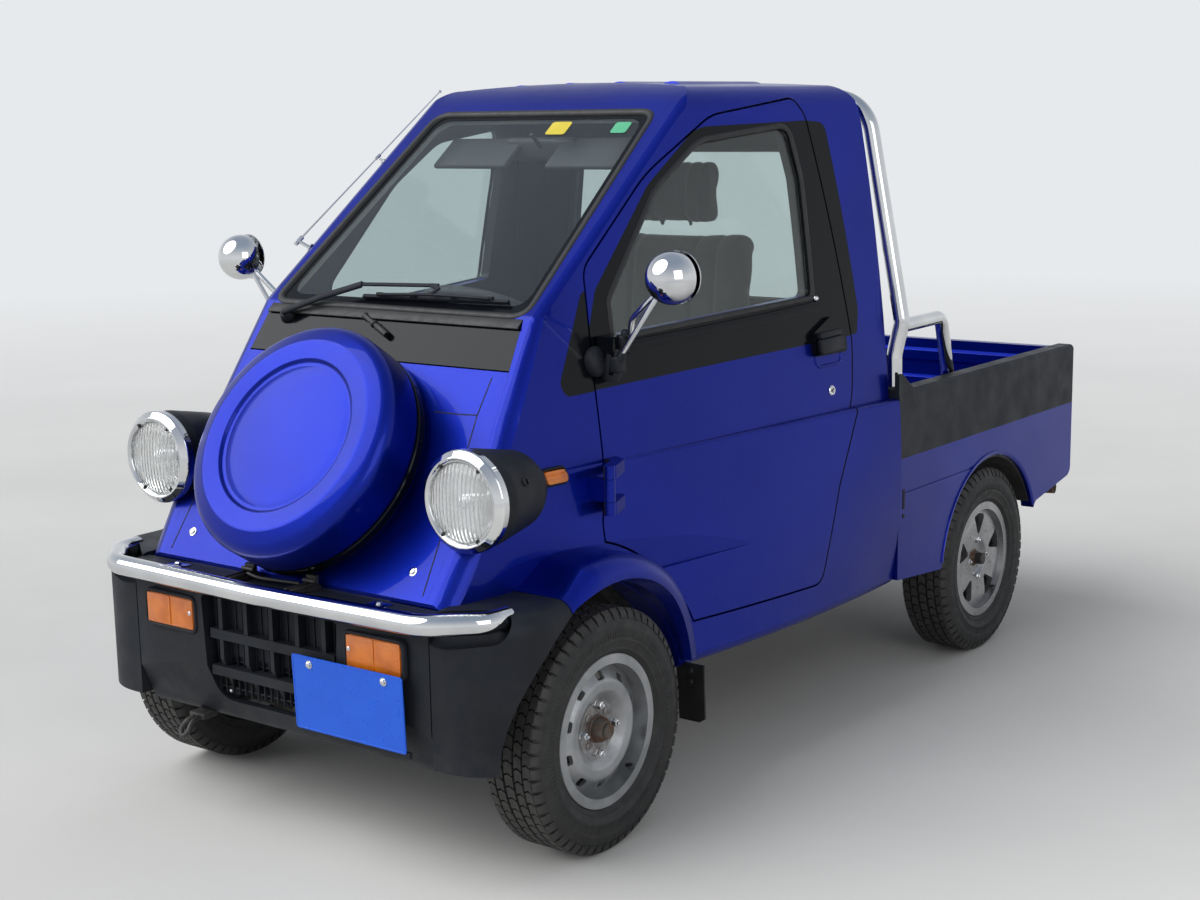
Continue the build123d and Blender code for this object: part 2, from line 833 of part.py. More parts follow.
def build_knuckle():
    boss = rod(kingpin_radius, (kingpin_x, 0, 172 + slip), (kingpin_x, 0, 358))
    spindle = rod(spindle_radius, (kingpin_x, 0, tyre_radius), (kingpin_x + 78, 0, tyre_radius))
    steering_arm = block((kingpin_x - 60, kingpin_x), (0, 24), (206, 226))
    steering_arm += block((kingpin_x - 60, kingpin_x - 36), (0, 110), (206, 226))
    drum = rod(drum_radius, (kingpin_x - 16, 0, tyre_radius), (kingpin_x + 28, 0, tyre_radius))
    return boss + spindle + steering_arm + drum


save("knuckle_left", build_knuckle())
save("knuckle_right", mirrored(build_knuckle()))


def build_rear_axle():
    tube = rod(38, (-470, rear_y, tyre_radius), (470, rear_y, tyre_radius))
    diff = Pos(0, rear_y, tyre_radius) * Sphere(112)
    shaft = rod(28, (0, 1160 + slip, 262), (0, rear_y - 60, tyre_radius))
    axle = tube + diff + shaft
    for sign in (-1, 1):
        drum = rod(98, (sign * 470, rear_y, tyre_radius), (sign * 522, rear_y, tyre_radius))
        stub = rod(spindle_radius, (sign * 500, rear_y, tyre_radius), (sign * 618, rear_y, tyre_radius))
        axle = axle + drum + stub
    return axle


save("rear_axle", build_rear_axle())


def build_exhaust():
    """Pipe from the engine over the axle to the silencer, and the tailpipe under the skirt."""
    engine_back = 1160 + slip
    pipe = bent_tube(
        [(130, engine_back, 262), (130, 1330, 262), (150, 1600, 388), (150, 1960, 388), (90, 2010, 385)],
        [60, 80, 30], 20)
    silencer = rod(55, (90, 1996, 380), (90, 2240, 380))
    tail = bent_tube(
        [(90, 2230, 374), (90, 2275, 374), (330, 2352, 374), (600, 2392, 386)], [30, 90], 22)
    bore = rod(18, (520, 2380.15, 382.4), (610, 2393.5, 386.4))
    return pipe + silencer + (tail - bore)


save("exhaust", build_exhaust())
save("fuel_tank", block((-570, -rail_out - slip), (1300, 1510), (300, 468)))


def build_spring():
    """Leaf spring under the left rail, with its two shackles."""
    leaf = make_face([
        ThreePointArc((1530, 396), (rear_y, 306 + slip), (2230, 396)),
        Line((2230, 396), (2230, 420)),
        ThreePointArc((2230, 420), (rear_y, 332), (1530, 420)),
        Line((1530, 420), (1530, 396)),
    ])
    spring = across(leaf, rail_in, rail_out)
    for y in (1542, 2218):
        spring += block((rail_in + 10, rail_out - 10), (y - 12, y + 12), (400, 430 - slip))
    return spring


save("leaf_springs", pair(build_spring()))


# Load bed

def build_bed_floor():
    wide = bed_outer - 40
    floor = block((-wide, wide), (bed_front, rear_end - 40), (bed_floor_z - 24, bed_floor_z - 10))
    inner = bed_inner - slip
    floor += block((-inner, inner), (bed_front, rear_end - 40), (bed_floor_z - 24, bed_floor_z))
    lip = block((-wide, wide), (rear_end - 40, rear_end - 8), (bed_floor_z - 24, bed_floor_z - 10))
    front = block((-inner, inner), (bed_front, bed_front + 22), (bed_floor_z, 822))
    apron = block((-bed_outer + 40, bed_outer - 40),
                  (rear_end - 30, rear_end - 8), (430, bed_floor_z - 24))
    return floor + lip + front + apron


save("bed_floor", build_bed_floor())


def build_bed_side():
    low = bed_floor_z - 10 + slip
    wall = block((bed_inner, bed_inner + 20), (bed_front, rear_end - 8), (low, bed_top - 14))
    skirt_face = outline(
        (cab_rear + seam, 330, 0), (cab_rear + seam, cladding_low, 0), (rear_end, cladding_low, 0),
        (rear_end, 430, 30), (2140, 385, 30), (2140, 300, 0), (1600, 300, 0))
    skirt = across(skirt_face, bed_outer - 40, bed_outer)
    skirt -= block((bed_outer - 3, bed_outer + 1), (1301, 1726), (561, 567))
    arch = across(Pos(rear_y, tyre_radius) * Circle(rear_arch_radius), 400, 800)
    return wall, skirt - arch


bed_wall, bed_skirt = build_bed_side()
save("bed_sides", pair(bed_wall), pair(bed_skirt))


def build_cladding():
    face = outline(
        (bed_inner + 20, cladding_low, 0), (bed_inner + 20, bed_top - 14, 0),
        (bed_inner, bed_top - 14, 0), (bed_inner, bed_top, 8), (bed_outer, bed_top, 14),
        (bed_outer, cladding_low, 0))
    gusset = across(outline(
        (cab_rear + seam, bed_top - 10, 0), (cab_rear + seam, 884, 4), (1285, 884, 8),
        (1362, bed_top - 10, 0)), bed_outer - 12, bed_outer - 2)
    return along(face, cab_rear + seam, rear_end) + gusset


save("bed_cladding", pair(build_cladding()))


def build_gate():
    half = bed_inner - shut_gap
    gate = block((-half, half), (rear_end - gate_thickness, rear_end), (bed_floor_z + shut_gap, bed_top - 8))
    for z in (690, 778):
        rail = across(outline(
            (rear_end - gate_thickness, z - 22, 0), (rear_end - gate_thickness - 9, z - 14, 3),
            (rear_end - gate_thickness - 9, z + 14, 3), (rear_end - gate_thickness, z + 22, 0)), -548, 548)
        gate += rail
    pin = rod(gate_pin, (-bed_inner + slip, gate_axis_y, gate_axis_z), (bed_inner - slip, gate_axis_y, gate_axis_z))
    return gate + pin


save("tailgate", build_gate())


def build_rear_lamp():
    """Combination lamp on the apron below the tailgate."""
    face = outline((430, 470, 10), (560, 470, 10), (560, 545, 10), (430, 545, 10))
    return along(face, rear_end - 8 + slip, rear_end)


save("rear_lamps", pair(build_rear_lamp()))


# Roll bar behind the cab

def build_roll_bar():
    foot = (604, bar_y, bed_top + slip)
    low = (603, bar_y, 930)
    knee = (624, bar_y, 1020)
    top = (512, bar_y, bar_top)
    points = [foot, low, knee, top]
    points += [(-x, y, z) for x, y, z in reversed(points)]
    radii = [60, 60, 110, 110, 60, 60]
    bar = bent_tube(points, radii, bar_radius)
    side = bent_tube(
        [(620, bar_y, 1008), (588, 1600, 1002), (560, 1704, 836), (560, 1708, 742)],
        [70, 60], side_bar_radius)
    side += block((562, bed_inner - slip), (1672, 1742), (736, 796))
    return bar + side + mirrored(side)


save("roll_bar", build_roll_bar())


# Wheels

def build_tyre(x, y):
    half = tyre_width / 2
    bead = rim_width / 2
    section = outline(
        (rim_radius, -bead, 0), (rim_flange + 3, -bead, 0), (rim_flange + 16, -half, 14),
        (tyre_radius - 30, -half, 20),
        (tyre_radius - 3, -half + 14, 10), (tyre_radius, 0, 0), (tyre_radius - 3, half - 14, 10),
        (tyre_radius - 30, half, 20), (rim_flange + 16, half, 14), (rim_flange + 3, bead, 0),
        (rim_radius, bead, 0),
    )
    return turned(section, (x, y, tyre_radius), (1, 0, 0))


def rim_barrel(x, y):
    half = rim_width / 2
    barrel = outline(
        (rim_radius, -half, 0), (rim_flange, -half, 0), (rim_flange, -half - 4, 0),
        (rim_radius - 5, -half - 4, 0), (rim_radius - 5, half + 4, 0), (rim_flange, half + 4, 0),
        (rim_flange, half, 0), (rim_radius, half, 0))
    return turned(barrel, (x, y, tyre_radius), (1, 0, 0))


def around_wheel(cutter, count, x, y):
    """Copies of a cutter, drawn about the X axis, spaced evenly round a wheel."""
    place = Pos(x, y, tyre_radius)
    return [place * Rot(360 / count * i, 0, 0) * cutter for i in range(count)]


def build_steel_rim(x, y):
    """Pressed steel wheel: dished disc with a raised ring and vent holes."""
    disc = outline(
        (spindle_radius + slip, 20, 0), (hub_radius, 20, 6), (88, 38, 14), (104, 40, 14),
        (rim_radius - 4, 12, 0), (rim_radius - 4, 20, 0), (108, 48, 14), (86, 46, 14),
        (hub_radius, 30, 6), (spindle_radius + slip, 30, 0))
    disc = turned(disc, (x, y, tyre_radius), (1, 0, 0))
    vent = across(outline((-13, 112, 5), (13, 112, 5), (11, 130, 8), (-11, 130, 8)), 0, 70)
    for cutter in around_wheel(vent, steel_vents, x, y):
        disc -= cutter
    bolt = across(Pos(0, bolt_circle / 2) * Circle(bolt_hole / 2), 0, 70)
    for cutter in around_wheel(bolt, bolts, x, y):
        disc -= cutter
    return rim_barrel(x, y) + disc


def build_alloy_rim(x, y):
    """Cast wheel: flat face with rounded windows between broad spokes."""
    disc = outline(
        (spindle_radius + slip, 26, 0), (54, 26, 0), (100, 34, 60), (rim_radius - 4, 30, 0),
        (rim_radius - 4, 44, 0), (120, 50, 60), (56, 46, 8), (46, 34, 4), (spindle_radius + slip, 34, 0))
    disc = turned(disc, (x, y, tyre_radius), (1, 0, 0))
    window = across(outline(
        (-34, 127, 8), (0, 136, 60), (34, 127, 8), (5, 74, 7), (-5, 74, 7)), 0, 70)
    for cutter in around_wheel(window, alloy_windows, x, y):
        disc -= cutter
    bolt = across(Pos(0, bolt_circle / 2) * Circle(bolt_hole / 2), 0, 70)
    for cutter in around_wheel(bolt, bolts, x, y):
        disc -= cutter
    return rim_barrel(x, y) + disc


for end, y, build_rim in (("front", front_y, build_steel_rim), ("rear", rear_y, build_alloy_rim)):
    rim = build_rim(track / 2, y)
    tyre = build_tyre(track / 2, y)
    save(f"rim_{end}_left", rim)
    save(f"tyre_{end}_left", tyre)
    save(f"rim_{end}_right", mirrored(rim))
    save(f"tyre_{end}_right", mirrored(tyre))
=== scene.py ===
import json
import math

import bmesh
import bpy
from mathutils import Matrix, Vector
from mathutils.bvhtree import BVHTree


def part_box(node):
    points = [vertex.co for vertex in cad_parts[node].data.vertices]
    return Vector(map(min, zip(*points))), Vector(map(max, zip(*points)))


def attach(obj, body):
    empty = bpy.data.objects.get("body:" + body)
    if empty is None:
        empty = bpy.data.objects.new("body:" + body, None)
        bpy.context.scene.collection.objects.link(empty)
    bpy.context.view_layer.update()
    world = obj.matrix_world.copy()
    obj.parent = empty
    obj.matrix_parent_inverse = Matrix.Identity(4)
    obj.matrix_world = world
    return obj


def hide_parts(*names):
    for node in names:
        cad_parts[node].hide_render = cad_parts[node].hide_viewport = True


# Small one-seat kei pickup truck. Objects are in metres, +Z up, front towards -Y, the driver's
# left towards +X. Pieces are drawn in millimetres from the ground below the front axle.

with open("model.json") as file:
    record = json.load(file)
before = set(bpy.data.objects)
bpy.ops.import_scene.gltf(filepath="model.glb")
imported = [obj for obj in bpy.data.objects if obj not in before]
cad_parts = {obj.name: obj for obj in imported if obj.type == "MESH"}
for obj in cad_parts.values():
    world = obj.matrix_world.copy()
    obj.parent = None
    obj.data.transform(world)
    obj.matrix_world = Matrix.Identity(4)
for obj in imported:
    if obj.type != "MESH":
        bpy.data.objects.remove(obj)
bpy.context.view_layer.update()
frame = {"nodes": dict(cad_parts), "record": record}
node = frame["nodes"]
slot_of = {part["node"]: part["material_slot"] for part in frame["record"]["subparts"]}

AXLE_Y = -980
WHEELBASE = 1840
TRACK_HALF = 555
WHEEL_Z = 268
BED_FRONT = 1278
REAR_END = 2415

# Camera, at the photograph's viewing angle
CAMERA_PLACE = (2.870, -3.987, 1.573)
CAMERA_AZIMUTH = 36.98
CAMERA_ELEVATION = -10.43
CAMERA_ROLL = -0.97
LENS = 55.05


def add_camera():
    data = bpy.data.cameras.new("camera")
    data.sensor_width = 36
    data.lens = LENS
    camera = bpy.data.objects.new("camera", data)
    turn = Matrix.Rotation(math.radians(CAMERA_AZIMUTH), 4, "Z")
    tilt = Matrix.Rotation(math.radians(90 + CAMERA_ELEVATION), 4, "X")
    roll = Matrix.Rotation(math.radians(CAMERA_ROLL), 4, "Z")
    camera.matrix_world = Matrix.Translation(CAMERA_PLACE) @ turn @ tilt @ roll
    bpy.context.scene.collection.objects.link(camera)
    bpy.context.scene.camera = camera


def area_light(name, place, target, size, power):
    data = bpy.data.lights.new(name, "AREA")
    data.shape = "SQUARE"
    data.size = size
    data.energy = power
    light = bpy.data.objects.new(name, data)
    light.rotation_euler = (Vector(target) - Vector(place)).to_track_quat("-Z", "Y").to_euler()
    light.location = place
    bpy.context.scene.collection.objects.link(light)


def sun_light(name, source, power, spread):
    """Sunlight from a direction, softened by its spread in degrees."""
    data = bpy.data.lights.new(name, "SUN")
    data.energy = power
    data.angle = math.radians(spread)
    light = bpy.data.objects.new(name, data)
    light.rotation_euler = Vector(source).to_track_quat("Z", "Y").to_euler()
    bpy.context.scene.collection.objects.link(light)


# Material building blocks

def new_material(name):
    material = bpy.data.materials.new(name)
    material.use_nodes = True
    tree = material.node_tree
    tree.nodes.clear()
    out = tree.nodes.new("ShaderNodeOutputMaterial")
    shader = tree.nodes.new("ShaderNodeBsdfPrincipled")
    tree.links.new(shader.outputs["BSDF"], out.inputs["Surface"])
    return material, tree, shader


def feed(tree, socket, value):
    if isinstance(value, bpy.types.NodeSocket):
        tree.links.new(value, socket)
    else:
        socket.default_value = value


def give(tree, made, values):
    """Feeds each named or numbered input of a node."""
    for key, value in values.items():
        feed(tree, made.inputs[key], value)


def add_node(tree, kind, values, **settings):
    made = tree.nodes.new(kind)
    for key, value in settings.items():
        setattr(made, key, value)
    give(tree, made, values)
    return made


def own_place(tree):
    return add_node(tree, "ShaderNodeTexCoord", {}).outputs["Object"]


def axis_of(tree, vector, axis):
    return add_node(tree, "ShaderNodeSeparateXYZ", {0: vector}).outputs[axis]


def length_of(tree, vector):
    return add_node(tree, "ShaderNodeVectorMath", {0: vector}, operation="LENGTH").outputs["Value"]


def noise(tree, scale, detail=4.0, rough=0.5):
    values = {"Vector": own_place(tree), "Scale": scale, "Detail": detail, "Roughness": rough}
    return add_node(tree, "ShaderNodeTexNoise", values).outputs["Fac"]


def remap(tree, value, low, high, to_low=0.0, to_high=1.0):
    values = {"Value": value, "From Min": low, "From Max": high, "To Min": to_low, "To Max": to_high}
    return add_node(tree, "ShaderNodeMapRange", values).outputs["Result"]


def patches(tree, scale, low, high, to_low=0.0, to_high=1.0, detail=4.0, rough=0.5):
    """Noise whose range from low to high is spread over another range."""
    return remap(tree, noise(tree, scale, detail, rough), low, high, to_low, to_high)


def calc(tree, operation, first, second=0.0):
    return add_node(tree, "ShaderNodeMath", {0: first, 1: second}, operation=operation).outputs[0]


def times(tree, first, second):
    return calc(tree, "MULTIPLY", first, second)


def ripples(tree, distance, rate):
    """Waves along a distance, at so many radians a metre."""
    return calc(tree, "SINE", times(tree, distance, rate))


def mixed(tree, factor, first, second):
    made = tree.nodes.new("ShaderNodeMix")
    made.data_type = "RGBA"
    feed(tree, made.inputs[0], factor)
    for socket, colour in ((made.inputs[6], first), (made.inputs[7], second)):
        feed(tree, socket, colour if isinstance(colour, bpy.types.NodeSocket) else (*colour, 1))
    return made.outputs[2]


def bumped(tree, shader, height, depth):
    values = {"Height": height, "Distance": depth, "Strength": 1.0}
    tree.links.new(add_node(tree, "ShaderNodeBump", values).outputs["Normal"], shader.inputs["Normal"])


def stained(tree, shader, amount, colour):
    """Lays a second colour over a finish."""
    socket = shader.inputs["Base Color"]
    feed(tree, socket, mixed(tree, amount, socket.links[0].from_socket, colour))


def wheel_reach(tree, wheel_y):
    """Distance from the axis of a wheel, in metres."""
    hub = (0, -wheel_y / 1000, -WHEEL_Z / 1000)
    values = {"Vector": own_place(tree), "Location": hub, "Scale": (0, 1, 1)}
    return length_of(tree, add_node(tree, "ShaderNodeMapping", values).outputs[0])


# Colours, as linear red, green and blue
COBALT_DEEP = (0.0006, 0.006, 0.18)
COBALT_BRIGHT = (0.001, 0.030, 0.52)
# Dark inner colour of the cab's sides: trim, and also painted shade for the inside of the cab
LINING_DARK_SHADE = (0.018, 0.018, 0.02)
LINING_PALE = (0.34, 0.34, 0.33)
ROAD_DUST = (0.19, 0.17, 0.145)
ROAD_FILM = (0.16, 0.15, 0.13)
TREAD_DUST = (0.06, 0.057, 0.053)
BRAKE_DUST = (0.10, 0.055, 0.03)
RUST = (0.11, 0.042, 0.018)
BACKDROP = (0.80, 0.82, 0.84)
SKY_HIGH = (0.34, 0.40, 0.50)
SKYLIGHT = (0.93, 0.96, 1.0)


def finish(name, deep, light, rough, metal=0.0, patch=6.0, grain=None, coat=0.0, dust=0.0, specular=0.5):
    """A painted, moulded or metal surface: two close colours, uneven gloss, fine grain and dust low down."""
    material, tree, shader = new_material(name)
    colour = mixed(tree, patches(tree, patch, 0.35, 0.65), deep, light)
    if dust:
        low = remap(tree, axis_of(tree, own_place(tree), "Z"), 0.05, 0.55, dust, dust * 0.12)
        speckle = patches(tree, 26, 0.38, 0.72, detail=6, rough=0.7)
        colour = mixed(tree, times(tree, low, speckle), colour, ROAD_DUST)
    give(tree, shader, {
        "Base Color": colour,
        "Roughness": patches(tree, patch * 3, 0.3, 0.7, *rough, detail=5),
        "Metallic": metal,
        "Coat Weight": coat,
        "Coat Roughness": 0.03,
        "Specular IOR Level": specular,
    })
    if grain:
        size, depth = grain
        bumped(tree, shader, noise(tree, size, 3, 0.6), depth)
    return material, tree, shader


def simple(*looks, **settings):
    """A finish that needs nothing more."""
    return finish(*looks, **settings)[0]


def make_flat(name, deep, light, rough=(0.3, 0.45), grain=(300, 0.00008)):
    return simple(name, deep, light, rough, patch=20, grain=grain)


PAINT_METAL = 0.72


def make_paint(name, lining=None, level=0.0):
    """Metallic cobalt paint under clear lacquer; inner faces of a lined panel take the lining colour, which
    on the cab's sides is a dark trim colour that is also painted shade inside the cab.
    """
    material, tree, shader = new_material(name)
    place = own_place(tree)
    height = axis_of(tree, place, "Z")
    flake = patches(tree, 1700, 0.42, 0.62, detail=2, rough=0.9)
    sweep = patches(tree, 1.7, 0.3, 0.7, 0.25, 0.75, detail=2)
    colour = mixed(tree, times(tree, flake, sweep), COBALT_DEEP, COBALT_BRIGHT)
    low = remap(tree, height, 0.2, 0.6, 0.07, 0.0)
    film = times(tree, low, patches(tree, 30, 0.4, 0.7, detail=6, rough=0.7))
    colour = mixed(tree, film, colour, ROAD_FILM)
    metal = PAINT_METAL
    rough = patches(tree, 9, 0.3, 0.7, 0.30, 0.38)
    # Inner faces take the lining colour; the sides' dark one is partly painted shade inside the cab
    if lining:
        facing = add_node(tree, "ShaderNodeTexCoord", {}).outputs["Normal"]
        outward = times(tree, axis_of(tree, place, "X"), axis_of(tree, facing, "X"))
        ceiling = times(tree, calc(tree, "LESS_THAN", axis_of(tree, facing, "Z"), -0.45),
                        calc(tree, "GREATER_THAN", height, level))
        rear_wall = times(tree, calc(tree, "LESS_THAN", axis_of(tree, facing, "Y"), -0.5),
                          calc(tree, "GREATER_THAN", axis_of(tree, place, "Y"), -0.15))
        inner = calc(tree, "MAXIMUM", calc(tree, "LESS_THAN", outward, -0.12), ceiling)
        inner = calc(tree, "MAXIMUM", inner, rear_wall)
        weave = patches(tree, 420, 0.3, 0.7, detail=3, rough=0.7)
        colour = mixed(tree, inner, colour, mixed(tree, weave, tuple(v * 0.7 for v in lining), lining))
        rough = calc(tree, "ADD", rough, times(tree, inner, 0.4))
        metal = times(tree, calc(tree, "SUBTRACT", 1.0, inner), metal)
    give(tree, shader, {
        "Base Color": colour,
        "Roughness": rough,
        "Metallic": metal,
        "Specular IOR Level": 0.14,
        "Coat Weight": 0.22,
        "Coat Roughness": 0.025,
    })
    bumped(tree, shader, noise(tree, 55, 2), 0.00012)
    return material


def make_cast():
    """Bare cast iron and steel, browned by rust."""
    material, tree, shader = finish("rusty_iron", (0.10, 0.09, 0.08), (0.19, 0.17, 0.15), (0.5, 0.8),
                                    metal=0.5, patch=12, grain=(260, 0.0005))
    stained(tree, shader, patches(tree, 34, 0.42, 0.6, detail=8, rough=0.75), RUST)
    return material


def make_silver():
    """Silver-grey steel wheel paint, brown with brake dust towards the hub."""
    material, tree, shader = finish("wheel_silver", (0.27, 0.28, 0.29), (0.40, 0.41, 0.42), (0.3, 0.45),
                                    metal=0.7, patch=14, grain=(500, 0.0001))
    near = remap(tree, wheel_reach(tree, AXLE_Y), 0.035, 0.085, 1.0, 0.0)
    stained(tree, shader, times(tree, near, patches(tree, 60, 0.35, 0.65, detail=6, rough=0.8)), BRAKE_DUST)
    return material


def make_alloy():
    """Cast alloy with a turned face."""
    material, tree, shader = finish("turned_alloy", (0.30, 0.30, 0.31), (0.42, 0.42, 0.43), (0.24, 0.38),
                                    metal=0.85, patch=10, grain=(700, 0.00008), dust=0.05)
    bumped(tree, shader, ripples(tree, wheel_reach(tree, AXLE_Y + WHEELBASE), 5200.0), 0.00004)
    return material


def make_rubber():
    """Tyre rubber: dark sidewalls, greyer and dusty where it meets the road."""
    material, tree, shader = finish("tyre_rubber", (0.010, 0.010, 0.0105), (0.018, 0.018, 0.018),
                                    (0.55, 0.75), patch=18, grain=(800, 0.0002))
    reach = calc(tree, "MINIMUM", wheel_reach(tree, AXLE_Y), wheel_reach(tree, AXLE_Y + WHEELBASE))
    tread = remap(tree, reach, 0.246, 0.262)
    worn = patches(tree, 40, 0.3, 0.75, 0.1, 0.75, detail=6, rough=0.7)
    stained(tree, shader, times(tree, tread, worn), TREAD_DUST)
    return material


def make_glass(name, tint):
    material, tree, shader = new_material(name)
    give(tree, shader, {
        "Base Color": mixed(tree, noise(tree, 2), tint, tuple(v * 0.96 for v in tint)),
        "Roughness": patches(tree, 5, 0.3, 0.7, 0.0, 0.025, detail=5),
        "Transmission Weight": 1.0,
        "IOR": 1.45,
    })
    return material


def make_lamp_glass():
    """Clear lamp glass with upright flutes."""
    material, tree, shader = new_material("fluted_lamp_glass")
    place = own_place(tree)
    give(tree, shader, {
        "Base Color": mixed(tree, noise(tree, 8), (0.93, 0.95, 0.94), (0.98, 0.98, 0.97)),
        "Roughness": patches(tree, 14, 0.3, 0.7, 0.02, 0.09),
        "Transmission Weight": 0.9,
        "IOR": 1.45,
    })
    flutes = ripples(tree, axis_of(tree, place, "X"), 620.0)
    steps = ripples(tree, axis_of(tree, place, "Z"), 170.0)
    bumped(tree, shader, calc(tree, "ADD", flutes, times(tree, steps, 0.6)), 0.0005)
    return material


def make_lens(name, deep, light):
    """Clear coloured lamp plastic with a fine grid of cells."""
    material, tree, shader = new_material(name)
    place = own_place(tree)
    give(tree, shader, {
        "Base Color": mixed(tree, patches(tree, 14, 0.35, 0.65, detail=3), deep, light),
        "Roughness": patches(tree, 20, 0.3, 0.7, 0.08, 0.2, detail=3),
        "Transmission Weight": 0.35,
        "Coat Weight": 0.4,
        "Coat Roughness": 0.03,
    })
    cells = [ripples(tree, axis_of(tree, place, axis), 1250.0) for axis in "XZ"]
    bumped(tree, shader, times(tree, *cells), 0.0003)
    return material


def make_cloth():
    """Dark woven seat cloth: two crossing sets of threads."""
    material, tree, shader = new_material("woven_cloth")
    place = own_place(tree)
    warp = ripples(tree, axis_of(tree, place, "X"), 3600.0)
    drop = calc(tree, "ADD", axis_of(tree, place, "Y"), axis_of(tree, place, "Z"))
    thread = remap(tree, times(tree, warp, ripples(tree, drop, 3200.0)), -1.0, 1.0)
    tone = mixed(tree, noise(tree, 30, 4), (0.010, 0.010, 0.012), (0.020, 0.020, 0.023))
    give(tree, shader, {
        "Base Color": mixed(tree, thread, tone, (0.030, 0.031, 0.035)),
        "Roughness": patches(tree, 60, 0.3, 0.7, 0.8, 0.95),
        "Sheen Weight": 0.3,
    })
    bumped(tree, shader, thread, 0.0002)
    return material


MATERIALS = {
    "body_paint": make_paint("cobalt_paint"),
    "black_gloss": simple("gloss_black", (0.002, 0.0026, 0.004), (0.0042, 0.0052, 0.0078), (0.1, 0.2),
                          patch=3, coat=0.04, specular=0.15, grain=(30, 0.00006)),
    "black_plastic": simple("grained_black_moulding", (0.008, 0.010, 0.0145), (0.013, 0.016, 0.022),
                            (0.42, 0.6), patch=5, grain=(1400, 0.00018), dust=0.10, specular=0.2),
    "clear_glass": make_glass("window_glass", (0.70, 0.78, 0.77)),
    "lamp_glass": make_lamp_glass(),
    "chrome": simple("polished_chrome", (0.62, 0.63, 0.645), (0.74, 0.745, 0.75), (0.03, 0.09),
                     metal=1.0, patch=9, grain=(18, 0.00006)),
    "amber": make_lens("amber_lens", (0.62, 0.13, 0.006), (0.95, 0.26, 0.012)),
    "red_lens": make_lens("red_lens", (0.26, 0.006, 0.005), (0.48, 0.012, 0.01)),
    "chassis_paint": simple("chassis_black", (0.009, 0.009, 0.010), (0.02, 0.019, 0.018), (0.4, 0.65),
                            patch=10, grain=(300, 0.0002), dust=0.3),
    "cast_metal": make_cast(),
    "silver_paint": make_silver(),
    "alloy": make_alloy(),
    "tyre_rubber": make_rubber(),
    "trim": simple("interior_moulding", (0.02, 0.02, 0.022), (0.033, 0.033, 0.036), (0.5, 0.68),
                   grain=(900, 0.0002)),
    "seat_cloth": make_cloth(),
}
# The sides' inner faces are dark: trim, and painted shade for the inside of the cab
SIDE_PAINT = make_paint("side_paint_lined_and_shaded", LINING_DARK_SHADE, 1.35)
ROOF_PAINT = make_paint("lined_roof_paint", LINING_PALE, 1.1)
CARPET = simple("floor_mat", (0.012, 0.012, 0.013), (0.03, 0.03, 0.031), (0.8, 0.95), patch=30,
                grain=(500, 0.0012))
MIRROR = simple("mirror_glass", (0.80, 0.81, 0.82), (0.86, 0.86, 0.87), (0.01, 0.03), metal=1.0)
RUBBER = make_flat("seal_rubber", (0.006, 0.006, 0.0065), (0.011, 0.011, 0.012), (0.45, 0.6))
PLATE_BLUE = make_flat("plate_blue", (0.0, 0.085, 0.60), (0.0, 0.095, 0.64), (0.25, 0.4), (900, 0.00002))
LABEL_YELLOW = make_flat("label_yellow", (0.62, 0.50, 0.03), (0.70, 0.57, 0.05))
LABEL_GREEN = make_flat("label_green", (0.08, 0.42, 0.22), (0.11, 0.5, 0.28))
DIAL = make_flat("dial_face", (0.003, 0.003, 0.003), (0.006, 0.006, 0.006))
PALE_PRINT = make_flat("pale_print", (0.6, 0.6, 0.58), (0.7, 0.7, 0.68))
WHITE_LENS = make_lens("clear_lens", (0.6, 0.6, 0.6), (0.8, 0.8, 0.8))
# Near-black for seams and slots: painted shadow standing in for the shade inside these gaps
SHADOW_LINE = make_flat("seam_painted_shadow", (0.0015, 0.0015, 0.002), (0.003, 0.003, 0.004), (0.6, 0.8))
SPECIAL_FINISHES = {
    "cab_floor": CARPET,
    "roof": ROOF_PAINT,
    "cab_sides": SIDE_PAINT,
    "door_left": SIDE_PAINT,
    "door_right": SIDE_PAINT,
    "cab_rear_wall": SIDE_PAINT,
}


def dress_cad():
    for name, obj in node.items():
        chosen = SPECIAL_FINISHES.get(name, MATERIALS[slot_of[name]])
        if obj.material_slots:
            for place in obj.material_slots:
                place.material = chosen
        else:
            obj.data.materials.append(chosen)
        if slot_of[name] in ("clear_glass", "lamp_glass"):
            obj.visible_shadow = False


# Mesh building blocks, in millimetres

def add_mesh(bm, other):
    data = bpy.data.meshes.new("part")
    other.to_mesh(data)
    other.free()
    bm.from_mesh(data)
    bpy.data.meshes.remove(data)


def add_box(bm, low, high, bevel=2.0, turn=None, segments=2):
    """Block with rounded edges between two corners, turned about its own middle."""
    part = bmesh.new()
    bmesh.ops.create_cube(part, size=1)
    size = [high[i] - low[i] for i in range(3)]
    middle = Vector([(high[i] + low[i]) / 2 for i in range(3)])
    bmesh.ops.scale(part, vec=size, verts=part.verts)
    cut = min(bevel, min(size) * 0.45)
    bmesh.ops.bevel(part, geom=list(part.edges), offset=cut, segments=segments, affect="EDGES", profile=0.5)
    matrix = Matrix.Translation(middle) @ (turn.to_4x4() if turn else Matrix.Identity(4))
    bmesh.ops.transform(part, matrix=matrix, verts=part.verts)
    add_mesh(bm, part)


def add_pad(bm, middle, half, bevel, turn=None, segments=3):
    """Block with rounded edges, given by its middle and half its size."""
    add_box(bm, middle - Vector(half), middle + Vector(half), bevel, turn, segments)


def frame_of(direction):
    ahead = Vector(direction).normalized()
    side = Vector((0, 0, 1)) if abs(ahead.z) < 0.9 else Vector((1, 0, 0))
    first = side.cross(ahead).normalized()
    return first, ahead.cross(first), ahead


def add_skin(bm, rows, loop):
    """Walls between neighbouring rows of vertices, and from the last row to the first in a loop."""
    for this, after in zip(rows, rows[1:] + (rows[:1] if loop else [])):
        count = len(this)
        for k in range(count):
            m = (k + 1) % count
            bm.faces.new((this[k], this[m], after[m], after[k]))


